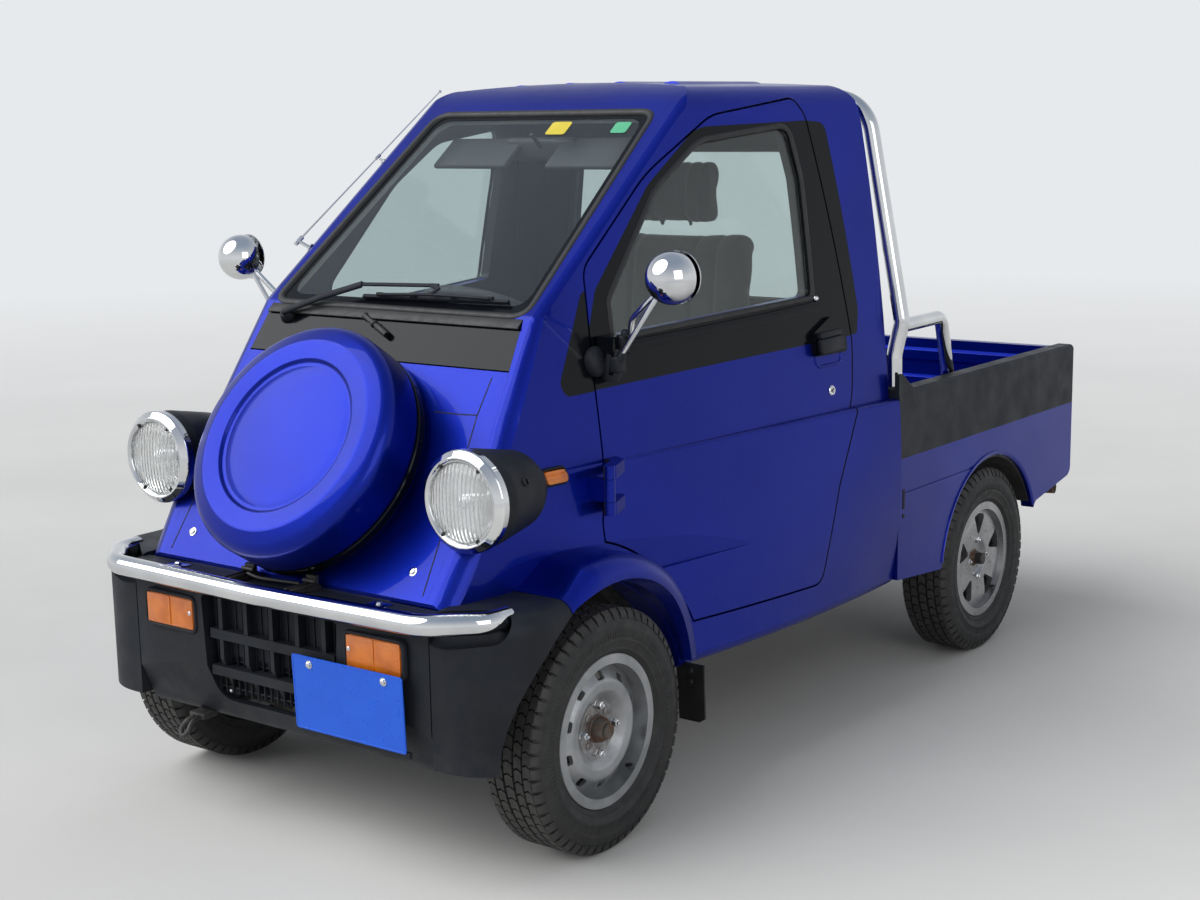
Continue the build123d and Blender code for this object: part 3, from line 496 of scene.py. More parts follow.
def add_lathe(bm, centre, direction, profile, steps=48):
    """Spins a profile of (radius, distance along the axis) points."""
    first, second, ahead = frame_of(direction)
    centre = Vector(centre)
    rows = []
    for i in range(steps):
        angle = math.tau * i / steps
        spoke = first * math.cos(angle) + second * math.sin(angle)
        rows.append([bm.verts.new(centre + spoke * r + ahead * a) for r, a in profile])
    for i in range(steps):
        this = rows[i]
        after = rows[(i + 1) % steps]
        for k in range(len(profile) - 1):
            bm.faces.new((this[k], this[k + 1], after[k + 1], after[k]))
    bmesh.ops.remove_doubles(bm, verts=[v for row in rows for v in row], dist=0.001)


def add_knob(bm, centre, direction, edge, steps=48):
    """Lathed head or button, flat underneath and on top."""
    add_lathe(bm, centre, direction, [(0, edge[0][1]), *edge, (0, edge[-1][1])], steps)


def add_rod(bm, start, end, radius, steps=16, end_radius=None):
    way = Vector(end) - Vector(start)
    tip = radius if end_radius is None else end_radius
    edge = min(radius, tip) * 0.15
    section = [(radius - edge, 0), (radius, edge), (tip, way.length - edge), (tip - edge, way.length)]
    add_knob(bm, start, way, section, steps)


def rounded(before, corner, after, reach, steps):
    """Arc that replaces a corner, starting so far before it."""
    start = corner + (before - corner).normalized() * reach
    end = corner + (after - corner).normalized() * reach
    parts = [k / steps for k in range(steps + 1)]
    return [start * (1 - t) ** 2 + corner * 2 * t * (1 - t) + end * t ** 2 for t in parts]


def rounded_path(points, radius, steps=6):
    """Open path with its corners turned into arcs."""
    points = [Vector(p) for p in points]
    path = [points[0]]
    for before, corner, after in zip(points, points[1:], points[2:]):
        reach = min(radius, (before - corner).length * 0.45, (after - corner).length * 0.45)
        path += rounded(before, corner, after, reach, steps)
    path.append(points[-1])
    return path


def round_outline(corners, steps=6):
    """Closed outline through (u, v, radius) corners, each turned into an arc."""
    points = []
    count = len(corners)
    for i in range(count):
        before, corner, after = [Vector(corners[k % count][:2]) for k in (i - 1, i, i + 1)]
        back = before - corner
        on = after - corner
        opening = back.angle(on)
        radius = corners[i][2]
        if radius <= 0 or opening > math.pi - 0.01:
            points.append(corner)
            continue
        reach = min(radius / math.tan(opening / 2), back.length * 0.48, on.length * 0.48)
        points += rounded(before, corner, after, reach, steps)
    return points


def round_rectangle(low, high, radius, steps=6):
    """Outline of a rectangle with round corners between two (u, v) corners."""
    u0, v0 = low
    u1, v1 = high
    return round_outline([(u0, v0, radius), (u1, v0, radius), (u1, v1, radius), (u0, v1, radius)], steps)


def add_sweep(bm, path, ups, section, closed=False):
    """Carries a section of (across, up) points along a path; ups is one way up, or one for each place."""
    if isinstance(ups, Vector):
        ups = [ups] * len(path)
    count = len(path)
    rings = []
    for i, place in enumerate(path):
        before = path[i - 1] if closed or i else place
        after = path[(i + 1) % count] if closed or i < count - 1 else place
        ahead = (after - before).normalized()
        across = ahead.cross(ups[i]).normalized()
        up = across.cross(ahead).normalized()
        rings.append([bm.verts.new(place + across * a + up * u) for a, u in section])
    add_skin(bm, rings, closed)
    if not closed:
        bm.faces.new(rings[0])
        bm.faces.new(list(reversed(rings[-1])))


def add_tube(bm, points, radius, bend=30, sides=12):
    path = rounded_path(points, bend)
    ups = []
    up = Vector((0, 0, 1))
    if abs((path[1] - path[0]).normalized().z) > 0.9:
        up = Vector((0, 1, 0))
    for i in range(len(path)):
        ahead = (path[min(i + 1, len(path) - 1)] - path[max(i - 1, 0)]).normalized()
        up = (up - ahead * up.dot(ahead)).normalized()
        ups.append(up)
    turns = [math.tau * i / sides for i in range(sides)]
    add_sweep(bm, path, ups, [(radius * math.cos(a), radius * math.sin(a)) for a in turns])


def add_plate(bm, corners, depth):
    """Flat plate: corners round one face, and the vector to the other face."""
    front = [bm.verts.new(Vector(p)) for p in corners]
    back = [bm.verts.new(Vector(p) + Vector(depth)) for p in corners]
    bm.faces.new(front)
    bm.faces.new(list(reversed(back)))
    count = len(front)
    for i in range(count):
        j = (i + 1) % count
        bm.faces.new((front[j], front[i], back[i], back[j]))


def mirror_x(bm):
    """Adds the other side's copy of everything drawn so far."""
    made = bmesh.ops.duplicate(bm, geom=list(bm.verts) + list(bm.edges) + list(bm.faces))
    twins = [g for g in made["geom"] if isinstance(g, bmesh.types.BMVert)]
    bmesh.ops.scale(bm, vec=(-1, 1, 1), verts=twins)


def make_piece(name, bm, material, sharp=38, flip=False):
    """Turns a drawing in millimetres into an object in metres, at the truck's place."""
    if flip:
        bmesh.ops.scale(bm, vec=(-1, 1, 1), verts=bm.verts)
    bmesh.ops.recalc_face_normals(bm, faces=bm.faces)
    place = Matrix.Scale(0.001, 4) @ Matrix.Translation((0, AXLE_Y, 0))
    bmesh.ops.transform(bm, matrix=place, verts=bm.verts)
    data = bpy.data.meshes.new(name)
    bm.to_mesh(data)
    bm.free()
    data.shade_smooth()
    data.set_sharp_from_angle(angle=math.radians(sharp))
    data.materials.append(material)
    obj = bpy.data.objects.new(name, data)
    bpy.context.scene.collection.objects.link(obj)
    return obj


def fit(obj, body, slot, *replaced):
    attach(obj, body)
    if replaced:
        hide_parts(*replaced)
    return obj


def add_piece(name, bm, slot, body="body", sharp=38, flip=False, material=None, replaced=None):
    """Makes a drawing a piece of the truck, in its slot's own finish if no other is given."""
    obj = make_piece(name, bm, material or MATERIALS[slot], sharp, flip)
    return fit(obj, body, slot, *([replaced] if replaced else []))


def add_pair(name, bm, slot, **settings):
    """Makes a left-hand drawing and its right-hand copy one piece."""
    mirror_x(bm)
    return add_piece(name, bm, slot, **settings)


# Geometry node trees that repeat a drawn piece

def repeat_tree(name, ring):
    """Repeats the drawn piece round an axis along X, or in a straight row."""
    tree = bpy.data.node_groups.new(name, "GeometryNodeTree")
    kinds = {"Geometry": "Geometry", "Count": "Int", "Vector": "Vector", "Material": "Material"}
    for label, kind in kinds.items():
        tree.interface.new_socket(label, in_out="INPUT", socket_type="NodeSocket" + kind)
    tree.interface.new_socket("Geometry", in_out="OUTPUT", socket_type="NodeSocketGeometry")
    given = tree.nodes.new("NodeGroupInput").outputs
    drawn = given["Geometry"]
    places = {"Count": given["Count"], "Offset": given["Vector"]}
    if ring:
        away = add_node(tree, "ShaderNodeVectorMath", {0: given["Vector"], "Scale": -1}, operation="SCALE")
        values = {"Geometry": drawn, "Translation": away.outputs[0]}
        drawn = add_node(tree, "GeometryNodeTransform", values).outputs[0]
        places = {"Count": given["Count"], "Start Location": given["Vector"], "Offset": (0, 0, 0)}
    line = add_node(tree, "GeometryNodeMeshLine", places)
    copies = add_node(tree, "GeometryNodeInstanceOnPoints", {"Points": line.outputs[0], "Instance": drawn})
    if ring:
        angle = times(tree, tree.nodes.new("GeometryNodeInputIndex").outputs[0],
                      calc(tree, "DIVIDE", math.tau, given["Count"]))
        turn = add_node(tree, "ShaderNodeCombineXYZ", {"X": angle})
        feed(tree, copies.inputs["Rotation"], turn.outputs[0])
    real = add_node(tree, "GeometryNodeRealizeInstances", {0: copies.outputs[0]})
    values = {"Geometry": real.outputs[0], "Material": given["Material"]}
    painted = add_node(tree, "GeometryNodeSetMaterial", values)
    tree.links.new(painted.outputs[0], tree.nodes.new("NodeGroupOutput").inputs[0])
    return tree


RING_TREE = repeat_tree("ring_of_copies", True)
ROW_TREE = repeat_tree("row_of_copies", False)


def plain_mesh(obj):
    """Keeps the result of an object's modifiers as its mesh."""
    shown = bpy.context.evaluated_depsgraph_get()
    made = bpy.data.meshes.new_from_object(obj.evaluated_get(shown))
    obj.modifiers.clear()
    obj.data = made


def repeated(obj, tree, count, vector):
    """Repeats a piece round a centre or along a step, both in millimetres."""
    modifier = obj.modifiers.new("repeat", "NODES")
    modifier.node_group = tree
    x, y, z = vector
    if tree is RING_TREE:
        y += AXLE_Y
    values = {"Count": count, "Vector": (x / 1000, y / 1000, z / 1000), "Material": obj.data.materials[0]}
    for socket in tree.interface.items_tree:
        if socket.in_out == "INPUT" and socket.name in values:
            modifier[socket.identifier] = values[socket.name]
    plain_mesh(obj)
    return obj


# Finding the truck's skin

def skin_of(*names):
    vertices = []
    faces = []
    for name in names:
        data = node[name].data
        start = len(vertices)
        vertices += [v.co.copy() for v in data.vertices]
        faces += [tuple(start + i for i in polygon.vertices) for polygon in data.polygons]
    return BVHTree.FromPolygons(vertices, faces)


SIDE_SKIN = skin_of("cab_sides", "door_left", "door_surround_left", "door_glass_left", "side_garnishes")
NOSE_SKIN = skin_of("nose_panel", "cowl_garnish", "cab_sides", "roof", "cab_glass")
REACH = 9
STEEP_ALONG = 8
STEEP_RISE = 14


def side_place(y, z):
    """Place on the left side of the cab, in millimetres, and the way out of the skin there."""

    def touch(y_at, z_at):
        start = Vector((2.0, (y_at + AXLE_Y) / 1000, z_at / 1000))
        hit = SIDE_SKIN.ray_cast(start, Vector((-1, 0, 0)))[0]
        return Vector((hit.x * 1000 if hit else 600, y_at, z_at))

    along = touch(y + REACH, z) - touch(y - REACH, z)
    rise = touch(y, z + REACH) - touch(y, z - REACH)
    if abs(along.x) > STEEP_ALONG:
        along = Vector((0, 1, 0))
    if abs(rise.x) > STEEP_RISE:
        rise = Vector((0, 0, 1))
    return touch(y, z), along.cross(rise).normalized()


def nearest_skin(place):
    """Nearest point of the left side's skin, in millimetres."""
    near = SIDE_SKIN.find_nearest(Vector((place.x, place.y + AXLE_Y, place.z)) / 1000)[0]
    return near * 1000 - Vector((0, AXLE_Y, 0))


def nose_place(x, z):
    """Place on the front of the cab, in millimetres, and the way out of the skin there."""

    def touch(x_at, z_at):
        hit = NOSE_SKIN.ray_cast(Vector((x_at / 1000, -3, z_at / 1000)), Vector((0, 1, 0)))[0]
        return Vector((x_at, hit.y * 1000 - AXLE_Y if hit else 0, z_at))

    rise = touch(x, z + REACH) - touch(x, z - REACH)
    across = touch(x + REACH, z) - touch(x - REACH, z)
    return touch(x, z), across.cross(rise).normalized()


def laid(finder, points, gap=18, closed=False):
    """Path over the skin through flat points, set out evenly, with its ways out of the skin."""
    ends = list(points) + ([points[0]] if closed else [])
    places = []
    for start, end in zip(ends, ends[1:]):
        run = Vector(end) - Vector(start)
        steps = max(1, round(run.length / gap))
        places += [finder(*(Vector(start) + run * i / steps)) for i in range(steps)]
    if not closed:
        places.append(finder(*ends[-1]))
    return [place for place, out in places], [out for place, out in places]


# Tyres and wheels

def wheel_spots():
    """Each wheel's end of the truck, its name's ending, its body, its side's sign and its middle."""
    for end, y in (("front", 0), ("rear", WHEELBASE)):
        for hand, sign in (("left", 1), ("right", -1)):
            spot = f"{end}_{hand}"
            yield end, spot, "wheel_" + spot, sign, Vector((sign * TRACK_HALF, y, WHEEL_Z))


TREAD_RADIUS = 262
TREAD_FOOT = 258
TREAD_TOP = 267.8
TREAD_PITCHES = 58
TREAD_STEP = math.tau * TREAD_RADIUS / TREAD_PITCHES
# Middle, width and shift along the tread of each row of blocks
TREAD_ROWS = [(-49, 19, 0.5), (-26, 20, 0.1), (0, 22, 0.55), (26, 20, 0.1), (49, 19, 0.5)]
SHOULDER_LUG = [(59, 266.2), (66, 259), (70.5, 246), (66, 244), (58, 256)]
WALL_RIBS = 150
WALL_RIB_OUT = 71.8
# Section of the tyre's outer half as (radius, distance from its middle), with two raised rings
TYRE_HALF = [(259, 0), (259, 14), (256, 15), (256, 17), (259, 18), (259, 36), (256, 37), (256, 39), (259, 40),
             (258, 58), (252, 66), (240, 70.5), (228, 72), (226, 72.4), (224, 72), (212, 71.8), (204, 71.2),
             (202, 72.0), (199, 72.0), (197, 70.6), (188, 68), (184, 66.5), (182, 67.2), (179, 66.8),
             (176, 63), (171, 57.5), (166, 55)]


def rolled(bm, middle, x, along, reach):
    """Vertex beside the wheel's middle plane, at a distance along the tread measured round the wheel."""
    angle = along / TREAD_RADIUS
    return bm.verts.new(middle + Vector((x, reach * math.sin(angle), reach * math.cos(angle))))


def add_block(bm, foot, top):
    bm.faces.new(top)
    bm.faces.new(list(reversed(foot)))
    count = len(foot)
    for i in range(count):
        j = (i + 1) % count
        bm.faces.new((foot[i], foot[j], top[j], top[i]))


def add_tread_blocks(bm, middle):
    """One pitch of the tread: a chevron block in each row and a lug on each shoulder."""
    for row, width, shift in TREAD_ROWS:
        low = shift * TREAD_STEP
        high = low + TREAD_STEP * 0.84
        half = width / 2
        plan = [(-half, low), (0, low + 4), (half, low - 2), (half, high - 2), (0, high + 4), (-half, high)]
        foot = [rolled(bm, middle, row + x, s, TREAD_FOOT) for x, s in plan]
        top = [rolled(bm, middle, row + x * 0.94, s, TREAD_TOP) for x, s in plan]
        add_block(bm, foot, top)
    low = 0.5 * TREAD_STEP
    high = low + TREAD_STEP * 0.72
    for side in (-1, 1):
        add_block(bm, *[[rolled(bm, middle, side * x, s, r) for x, r in SHOULDER_LUG] for s in (low, high)])


def build_tyres():
    profile = [(r, -a) for r, a in reversed(TYRE_HALF[1:])] + TYRE_HALF
    for _, spot, body, _, middle in wheel_spots():
        blocks = bmesh.new()
        add_tread_blocks(blocks, middle)
        tread = make_piece("tread_copy", blocks, MATERIALS["tyre_rubber"])
        repeated(tread, RING_TREE, TREAD_PITCHES, middle)
        rib = bmesh.new()
        for side in (-1, 1):
            add_pad(rib, middle + Vector((side * WALL_RIB_OUT, 0, 213)), (0.9, 1.1, 8), 0.5, None, 1)
        ribs = make_piece("rib_copy", rib, MATERIALS["tyre_rubber"])
        repeated(ribs, RING_TREE, WALL_RIBS, middle)
        bm = bmesh.new()
        add_lathe(bm, middle, (1, 0, 0), profile, 96)
        tyre = make_piece("dressed_tyre_" + spot, bm, MATERIALS["tyre_rubber"], 30)
        join_meshes(tyre, tread, ribs)
        fit(tyre, body, "tyre_rubber", "tyre_" + spot)


def join_meshes(first, *others):
    """Adds the meshes of other finished objects to the first and removes those objects."""
    bm = bmesh.new()
    bm.from_mesh(first.data)
    for other in others:
        bm.from_mesh(other.data)
    bm.to_mesh(first.data)
    bm.free()
    for other in others:
        bpy.data.objects.remove(other)


WHEEL_NUT = [(10.5, 0), (10.5, 2), (9.6, 3), (9.6, 11), (8, 14), (4.5, 15), (4.5, 19), (3.6, 20)]
WHEEL_STYLES = {
    "front": {
        "slot": "silver_paint",
        "face": 30,
        "hub": [(0, -6), (30, -6), (31, 2), (28, 4), (27, 16), (22, 24), (12, 28), (0, 29)],
        "studs": (4, 45, 44, 0, [(8.5, 0), (8.5, 1.6), (6, 2.8)], 20),
        "lip": (163, 161),
    },
    "rear": {
        "slot": "alloy",
        "face": 34,
        "hub": [(0, -8), (26, -8), (26, 0), (22, 2), (20, 9), (8, 12), (0, 12)],
        "studs": (5, 36, 88, 13, [(5, 0), (5, 2), (3.4, 3)], 16),
        "lip": (160, 157),
    },
}


def build_wheel_fittings():
    """Nuts, hub centres, valves, studs and rim lips of the two kinds of wheel."""
    for end, spot, body, sign, middle in wheel_spots():
        style = WHEEL_STYLES[end]
        out = Vector((sign, 0, 0))
        face = middle + out * style["face"]
        nut = bmesh.new()
        add_knob(nut, face + Vector((0, 0, 55)), out, WHEEL_NUT, 6)
        nuts = make_piece("wheel_nuts_" + spot, nut, MATERIALS["chrome"], 25)
        repeated(nuts, RING_TREE, 4, middle)
        fit(nuts, body, "chrome")
        hub = bmesh.new()
        add_lathe(hub, face, out, style["hub"], 40)
        add_piece("hub_centre_" + spot, hub, "cast_metal", body, 30)
        valve = bmesh.new()
        foot = middle + Vector((sign * 40, 92, -108))
        way = Vector((sign * 22, -6, 8))
        add_rod(valve, foot, foot + way * 0.6, 4.6, 12)
        add_rod(valve, foot + way * 0.55, foot + way, 3.2, 12)
        add_piece("valve_" + spot, valve, "tyre_rubber", body, material=RUBBER)
        extra = bmesh.new()
        count, first_turn, reach, lift, head, sides = style["studs"]
        for turn in range(count):
            angle = math.radians(first_turn + 360 / count * turn)
            stud = face + out * lift + Vector((0, math.sin(angle), math.cos(angle))) * reach
            add_knob(extra, stud, out, head, sides)
        inner, deep = style["lip"]
        crown = [(168.2, 55.6), (169.4, 57.5), (168.2, 59.6)]
        edge = [(inner, 55), *crown, (inner, 59.9), (deep, 57.5), (inner, 55)]
        add_lathe(extra, middle, out, edge, 96)
        add_piece("wheel_lip_" + spot, extra, style["slot"], body, 35)


def build_mud_flaps():
    bm = bmesh.new()
    flap = [(560, 338, 330), (636, 338, 330), (634, 344, 200), (618, 346, 190), (562, 346, 190)]
    add_plate(bm, flap, (0, 5, 0))
    for z in (314, 288):
        add_knob(bm, (600, 338, z), (0, -1, 0), [(7, 0), (7, 2), (4, 4)], 16)
    add_pair("mud_flaps", bm, "black_plastic", material=RUBBER)


# Front: bumper, grille, lamps, spare wheel cover

AHEAD = Vector((0, -1, 0))
BEHIND = Vector((0, 1, 0))
UPWARD = Vector((0, 0, 1))
PLATE_WIDE = 318
PLATE_TALL = 165


def upright(outline, y):
    """Outline of (x, z) points as places in an upright plane across the truck."""
    return [Vector((x, y, z)) for x, z in outline]


def build_plate():
    """Blank number plate on its bracket, at the left of the grille."""
    low = Vector((86, -404, 292))
    up = Vector((0, -6, 165)).normalized()
    front = Vector((0, -1, -0.04)).normalized()

    def on_plate(outline):
        return [low + Vector((u, 0, 0)) + up * v for u, v in outline]

    bm = bmesh.new()
    add_plate(bm, on_plate(round_rectangle((0, 0), (PLATE_WIDE, PLATE_TALL), 8, 4)), -front * 1.6)
    rim = on_plate(round_rectangle((3, 3), (PLATE_WIDE - 3, PLATE_TALL - 3), 8, 4))
    add_sweep(bm, rim, front, [(-2, -0.4), (-1.2, 0.9), (1.2, 0.9), (2, -0.4)], True)
    add_piece("number_plate", bm, "black_plastic", material=PLATE_BLUE)
    bolts = bmesh.new()
    for place in on_plate([(52, 148), (266, 148)]):
        add_knob(bolts, place, front, [(9, 0), (9, 1.2), (6.4, 1.6), (6.4, 5), (4, 6.4)], 24)
    add_piece("plate_bolts", bolts, "chrome", sharp=25)
    back = bmesh.new()
    add_box(back, (80, -402, 282), (410, -392, 296))
    for x in (118, 340):
        add_box(back, (x, -401, 296), (x + 28, -384, 452))
    add_piece("plate_bracket", back, "black_plastic")


def build_signal_details():
    """Bezels, dividing walls and screws of the two front signals, and the side markers' frames."""
    dark = bmesh.new()
    rim = upright(round_rectangle((232, 446), (396, 526), 16, 5), -395)
    add_sweep(dark, rim, AHEAD, [(-4, -8), (-4, 1.5), (-2, 3.5), (2, 3.5), (4.5, 0), (4.5, -8)], True)
    path, ups = laid(side_place, round_rectangle((-40, 796), (28, 828), 11, 5), 9, True)
    add_sweep(dark, path, ups, [(-3, -2), (-3, 4), (-1, 7), (2, 7), (4, 3), (4, -2)], True)
    add_pair("signal_bezels", dark, "black_plastic")
    lens = bmesh.new()
    for x in (238, 316):
        add_box(lens, (x, -399, 452), (x + 74, -394, 520), 5)
    add_box(lens, (311, -400.5, 453), (317, -394, 519), 1.2)
    add_pair("signal_lens_faces", lens, "amber")
    screws = bmesh.new()
    add_knob(screws, (246, -399, 490), AHEAD, [(5, 0), (5, 1.5), (3, 2.6)], 16)
    add_pair("signal_screws", screws, "chrome")


def build_grille_details():
    """Fine upright slats and cross wires behind the grille's broad bars."""
    slat = bmesh.new()
    add_box(slat, (-196, -366, 312), (-193, -358, 536), 1.2)
    slats = make_piece("grille_slats", slat, MATERIALS["black_plastic"])
    repeated(slats, ROW_TREE, 20, (20.4, 0, 0))
    wire = bmesh.new()
    add_box(wire, (-204, -362, 322), (204, -359, 326), 1.2)
    wires = make_piece("grille_wires", wire, MATERIALS["black_plastic"])
    repeated(wires, ROW_TREE, 7, (0, 0, 32))
    join_meshes(slats, wires)
    fit(slats, "body", "black_plastic")


def build_bumper_details():
    """Tow eye, deck brackets with their lever, bright plates and bolts."""
    dark = bmesh.new()
    eye = [(-274, -380, 240), (-274, -402, 236), (-284, -412, 216), (-274, -418, 202), (-262, -410, 212),
           (-266, -396, 232), (-270, -372, 236)]
    add_tube(dark, eye, 6, 12)
    add_box(dark, (-300, -372, 232), (-250, -330, 246), 3)
    for x in (-95, 95):
        add_box(dark, (x - 15, -424, 586), (x + 15, -342, 591))
        for left in (x - 12, x + 6):
            add_box(dark, (left, -420, 590), (left + 6, -350, 600), 1.5)
        add_rod(dark, (x - 18, -356, 604), (x + 18, -356, 604), 5)
    add_tube(dark, [(60, -352, 592), (10, -366, 594), (-40, -378, 596), (-78, -372, 600)], 4, 20)
    add_piece("bumper_fittings", dark, "chassis_paint")
    bright = bmesh.new()
    for x in (-310, 310):
        add_box(bright, (x - 26, -388, 585), (x + 26, -354, 588), 1)
        add_knob(bright, (x, -370, 588), UPWARD, [(8, 0), (8, 4), (5, 6)], 6)
    for x in (-95, 95):
        add_knob(bright, (x, -388, 591), UPWARD, [(7, 0), (7, 4), (4, 6)], 6)
    add_piece("deck_plates", bright, "chrome", sharp=25)


def build_nose_seams():
    """Joins of the front panel, drawn as thin lines of painted shadow, and its two bolts."""
    seam = bmesh.new()
    section = [(-1.4, -1.5), (-1.4, 0.5), (1.4, 0.5), (1.4, -1.5)]
    rise = [(388, 606), (372, 800), (356, 945), (358, 1020)]
    for points, gap in ((rise, 24), ([(356, 946), (300, 944), (236, 944)], 20)):
        path, ups = laid(nose_place, points, gap)
        add_sweep(seam, path, ups, section)
    add_pair("nose_seams", seam, "body_paint", material=SHADOW_LINE)
    bolts = bmesh.new()
    add_knob(bolts, *nose_place(340, 645), [(10, 0), (10, 1.4), (6.4, 2), (6.4, 6), (3, 7.4)], 24)
    add_pair("nose_bolts", bolts, "chrome", sharp=25)


LAMP = Vector((468, -263, 803))
LAMP_BOWL = [(0, 2), (22, 2.4), (50, 6), (74, 13), (84, 18), (85.4, 18), (85.4, 1), (0, 1)]
LAMP_SHIELD = [(0, 0), (15, 0), (15, 10), (11, 16), (0, 18)]
LAMP_GLASS = [(0, 35), (20, 34.6), (42, 33), (62, 29.5), (76, 25), (83, 21), (85.6, 17.5), (85.6, 14.5),
              (82, 15), (74, 21), (60, 25.5), (42, 29), (20, 30.6), (0, 31)]
LAMP_INNER_RING = [(84, 16), (88.5, 16), (90, 20), (88.5, 24.5), (85.5, 25), (83.5, 22), (84, 16)]


def build_lamps():
    """Lamp glass over a bright bowl with its bulb shield, the inner ring, clips and the pod's screws."""
    bowl = bmesh.new()
    add_lathe(bowl, LAMP, AHEAD, LAMP_BOWL, 64)
    add_lathe(bowl, LAMP + AHEAD * 2, AHEAD, LAMP_SHIELD, 24)
    add_pair("lamp_bowls", bowl, "chrome", sharp=50)
    glass = bmesh.new()
    add_lathe(glass, LAMP, AHEAD, LAMP_GLASS, 64)
    lens = add_pair("lamp_glasses", glass, "lamp_glass", sharp=60, replaced="headlamp_lenses")
    lens.visible_shadow = False
    ring = bmesh.new()
    add_lathe(ring, LAMP, AHEAD, LAMP_INNER_RING, 72)
    add_pair("lamp_inner_rings", ring, "chrome", sharp=50)
    dark = bmesh.new()
    add_lathe(dark, LAMP, AHEAD, [(89, 20), (91.5, 20), (92, 26.2), (90.4, 27), (89, 25)], 72)
    for turn in (35, 150, 215, 325):
        angle = math.radians(turn)
        spot = LAMP + Vector((88 * math.sin(angle), -25, 88 * math.cos(angle)))
        lean = Matrix.Rotation(angle, 3, "Y")
        add_box(dark, spot - Vector((3, 3, 6)), spot + Vector((3, 4, 6)), 1, lean)
    screw_cap = [(5.5, 0), (9.5, 0), (9.5, 9), (8, 10.5), (6.5, 9), (5.5, 0)]
    add_lathe(dark, LAMP + Vector((84, 74, 34)), (0.9, 0.16, 0.38), screw_cap, 24)
    add_lathe(dark, LAMP, AHEAD, [(103, -3), (107, -3), (107.6, 0.6), (103, 0.6)], 72)
    add_pair("lamp_clips", dark, "black_plastic", material=RUBBER)


COVER_AXIS = Vector((0, -0.8358, 0.549)).normalized()
COVER_RADIUS = 272
COVER_MIDDLE = Vector((0, -183.4, 816.4))
COVER_BACK = [(0, 12, 0), (264, 12, 6), (264, 50, 4), (267.5, 51, 2), (267.5, 54, 2), (COVER_RADIUS, 57, 4)]
COVER_RIM = [(COVER_RADIUS, 150, 46), (224, 168, 20), (181, 164, 5), (176, 157, 5), (168, 155, 8)]
COVER_DOME = [(166, 156.4), (150, 158.2), (125, 159.6), (90, 160.8), (45, 161.6), (0, 161.8)]
COVER_BAND = [(263, 22), (268.6, 22), (270.6, 25), (270.6, 42), (268.6, 45), (263, 45)]
COVER_FIXINGS = 12


def build_cover():
    """Spare wheel cover: domed centre in a raised ring, rounded rim, stepped back band with its fixings."""
    section = round_outline(COVER_BACK + COVER_RIM + [(0, 158, 0)], 7)
    section = [(p.x, p.y) for p in section if p.x > 169 or p.y < 100]
    bm = bmesh.new()
    add_lathe(bm, COVER_MIDDLE, COVER_AXIS, [(0, 12)] + section[1:] + COVER_DOME, 160)
    add_piece("dressed_cover", bm, "body_paint", sharp=42, replaced="spare_cover")
    band = bmesh.new()
    add_lathe(band, COVER_MIDDLE, COVER_AXIS, COVER_BAND, 160)
    first, second, _ = frame_of(COVER_AXIS)
    for turn in range(COVER_FIXINGS):
        angle = math.tau * (turn + 0.5) / COVER_FIXINGS
        spoke = first * math.cos(angle) + second * math.sin(angle)
        spot = COVER_MIDDLE + COVER_AXIS * 33 + spoke * 269.4
        add_knob(band, spot, spoke, [(4.4, 0), (4.4, 1.6), (2.6, 2.4)], 12)
    add_piece("cover_band", band, "black_gloss", sharp=30)


# Windscreen, wiper, aerial and the cab's front

AERIAL_TOP = 1632
SCREEN_FOOT = Vector((0, 31, 1143))
SCREEN_OUT = Vector((0, -1, 1.3)).normalized()
SCREEN_UP = Vector((0, 1.3, 1)).normalized()
SCREEN_TALL = 705
SCREEN_LOW_HALF = 382
SCREEN_HIGH_HALF = 338
SCREEN_SEAL = [(-9, -5), (-8, -1.5), (-4, 2.4), (4, 3.0), (8.5, 1.2), (10, -1), (8, -6)]
REAR_WINDOW = [(-430, 1060, 40), (430, 1060, 40), (385, 1470, 40), (-385, 1470, 40)]
REAR_SEAL_OUTSIDE = [(-12, -17), (-11, -1), (-6, 3), (4, 3.4), (9, 1), (10, -1)]
REAR_SEAL_INSIDE = [(-9, -14), (-9, 1), (-4, 4), (5, 4), (9, 0)]
SCREEN_LABELS = [("screen_label_1", LABEL_YELLOW, (52, 628), (112, 676)),
                 ("screen_label_2", LABEL_GREEN, (246, 632), (292, 672))]


def on_screen(u, v, lift=0.0):
    return SCREEN_FOOT + Vector((u, 0, 0)) + SCREEN_UP * v + SCREEN_OUT * lift


def screen_outline(grow):
    wide = SCREEN_LOW_HALF + grow
    narrow = SCREEN_HIGH_HALF + grow
    top = SCREEN_TALL + grow
    low = 6 - grow
    return round_outline([(-wide, low, 40), (wide, low, 40), (narrow, top, 46), (-narrow, top, 46)], 8)


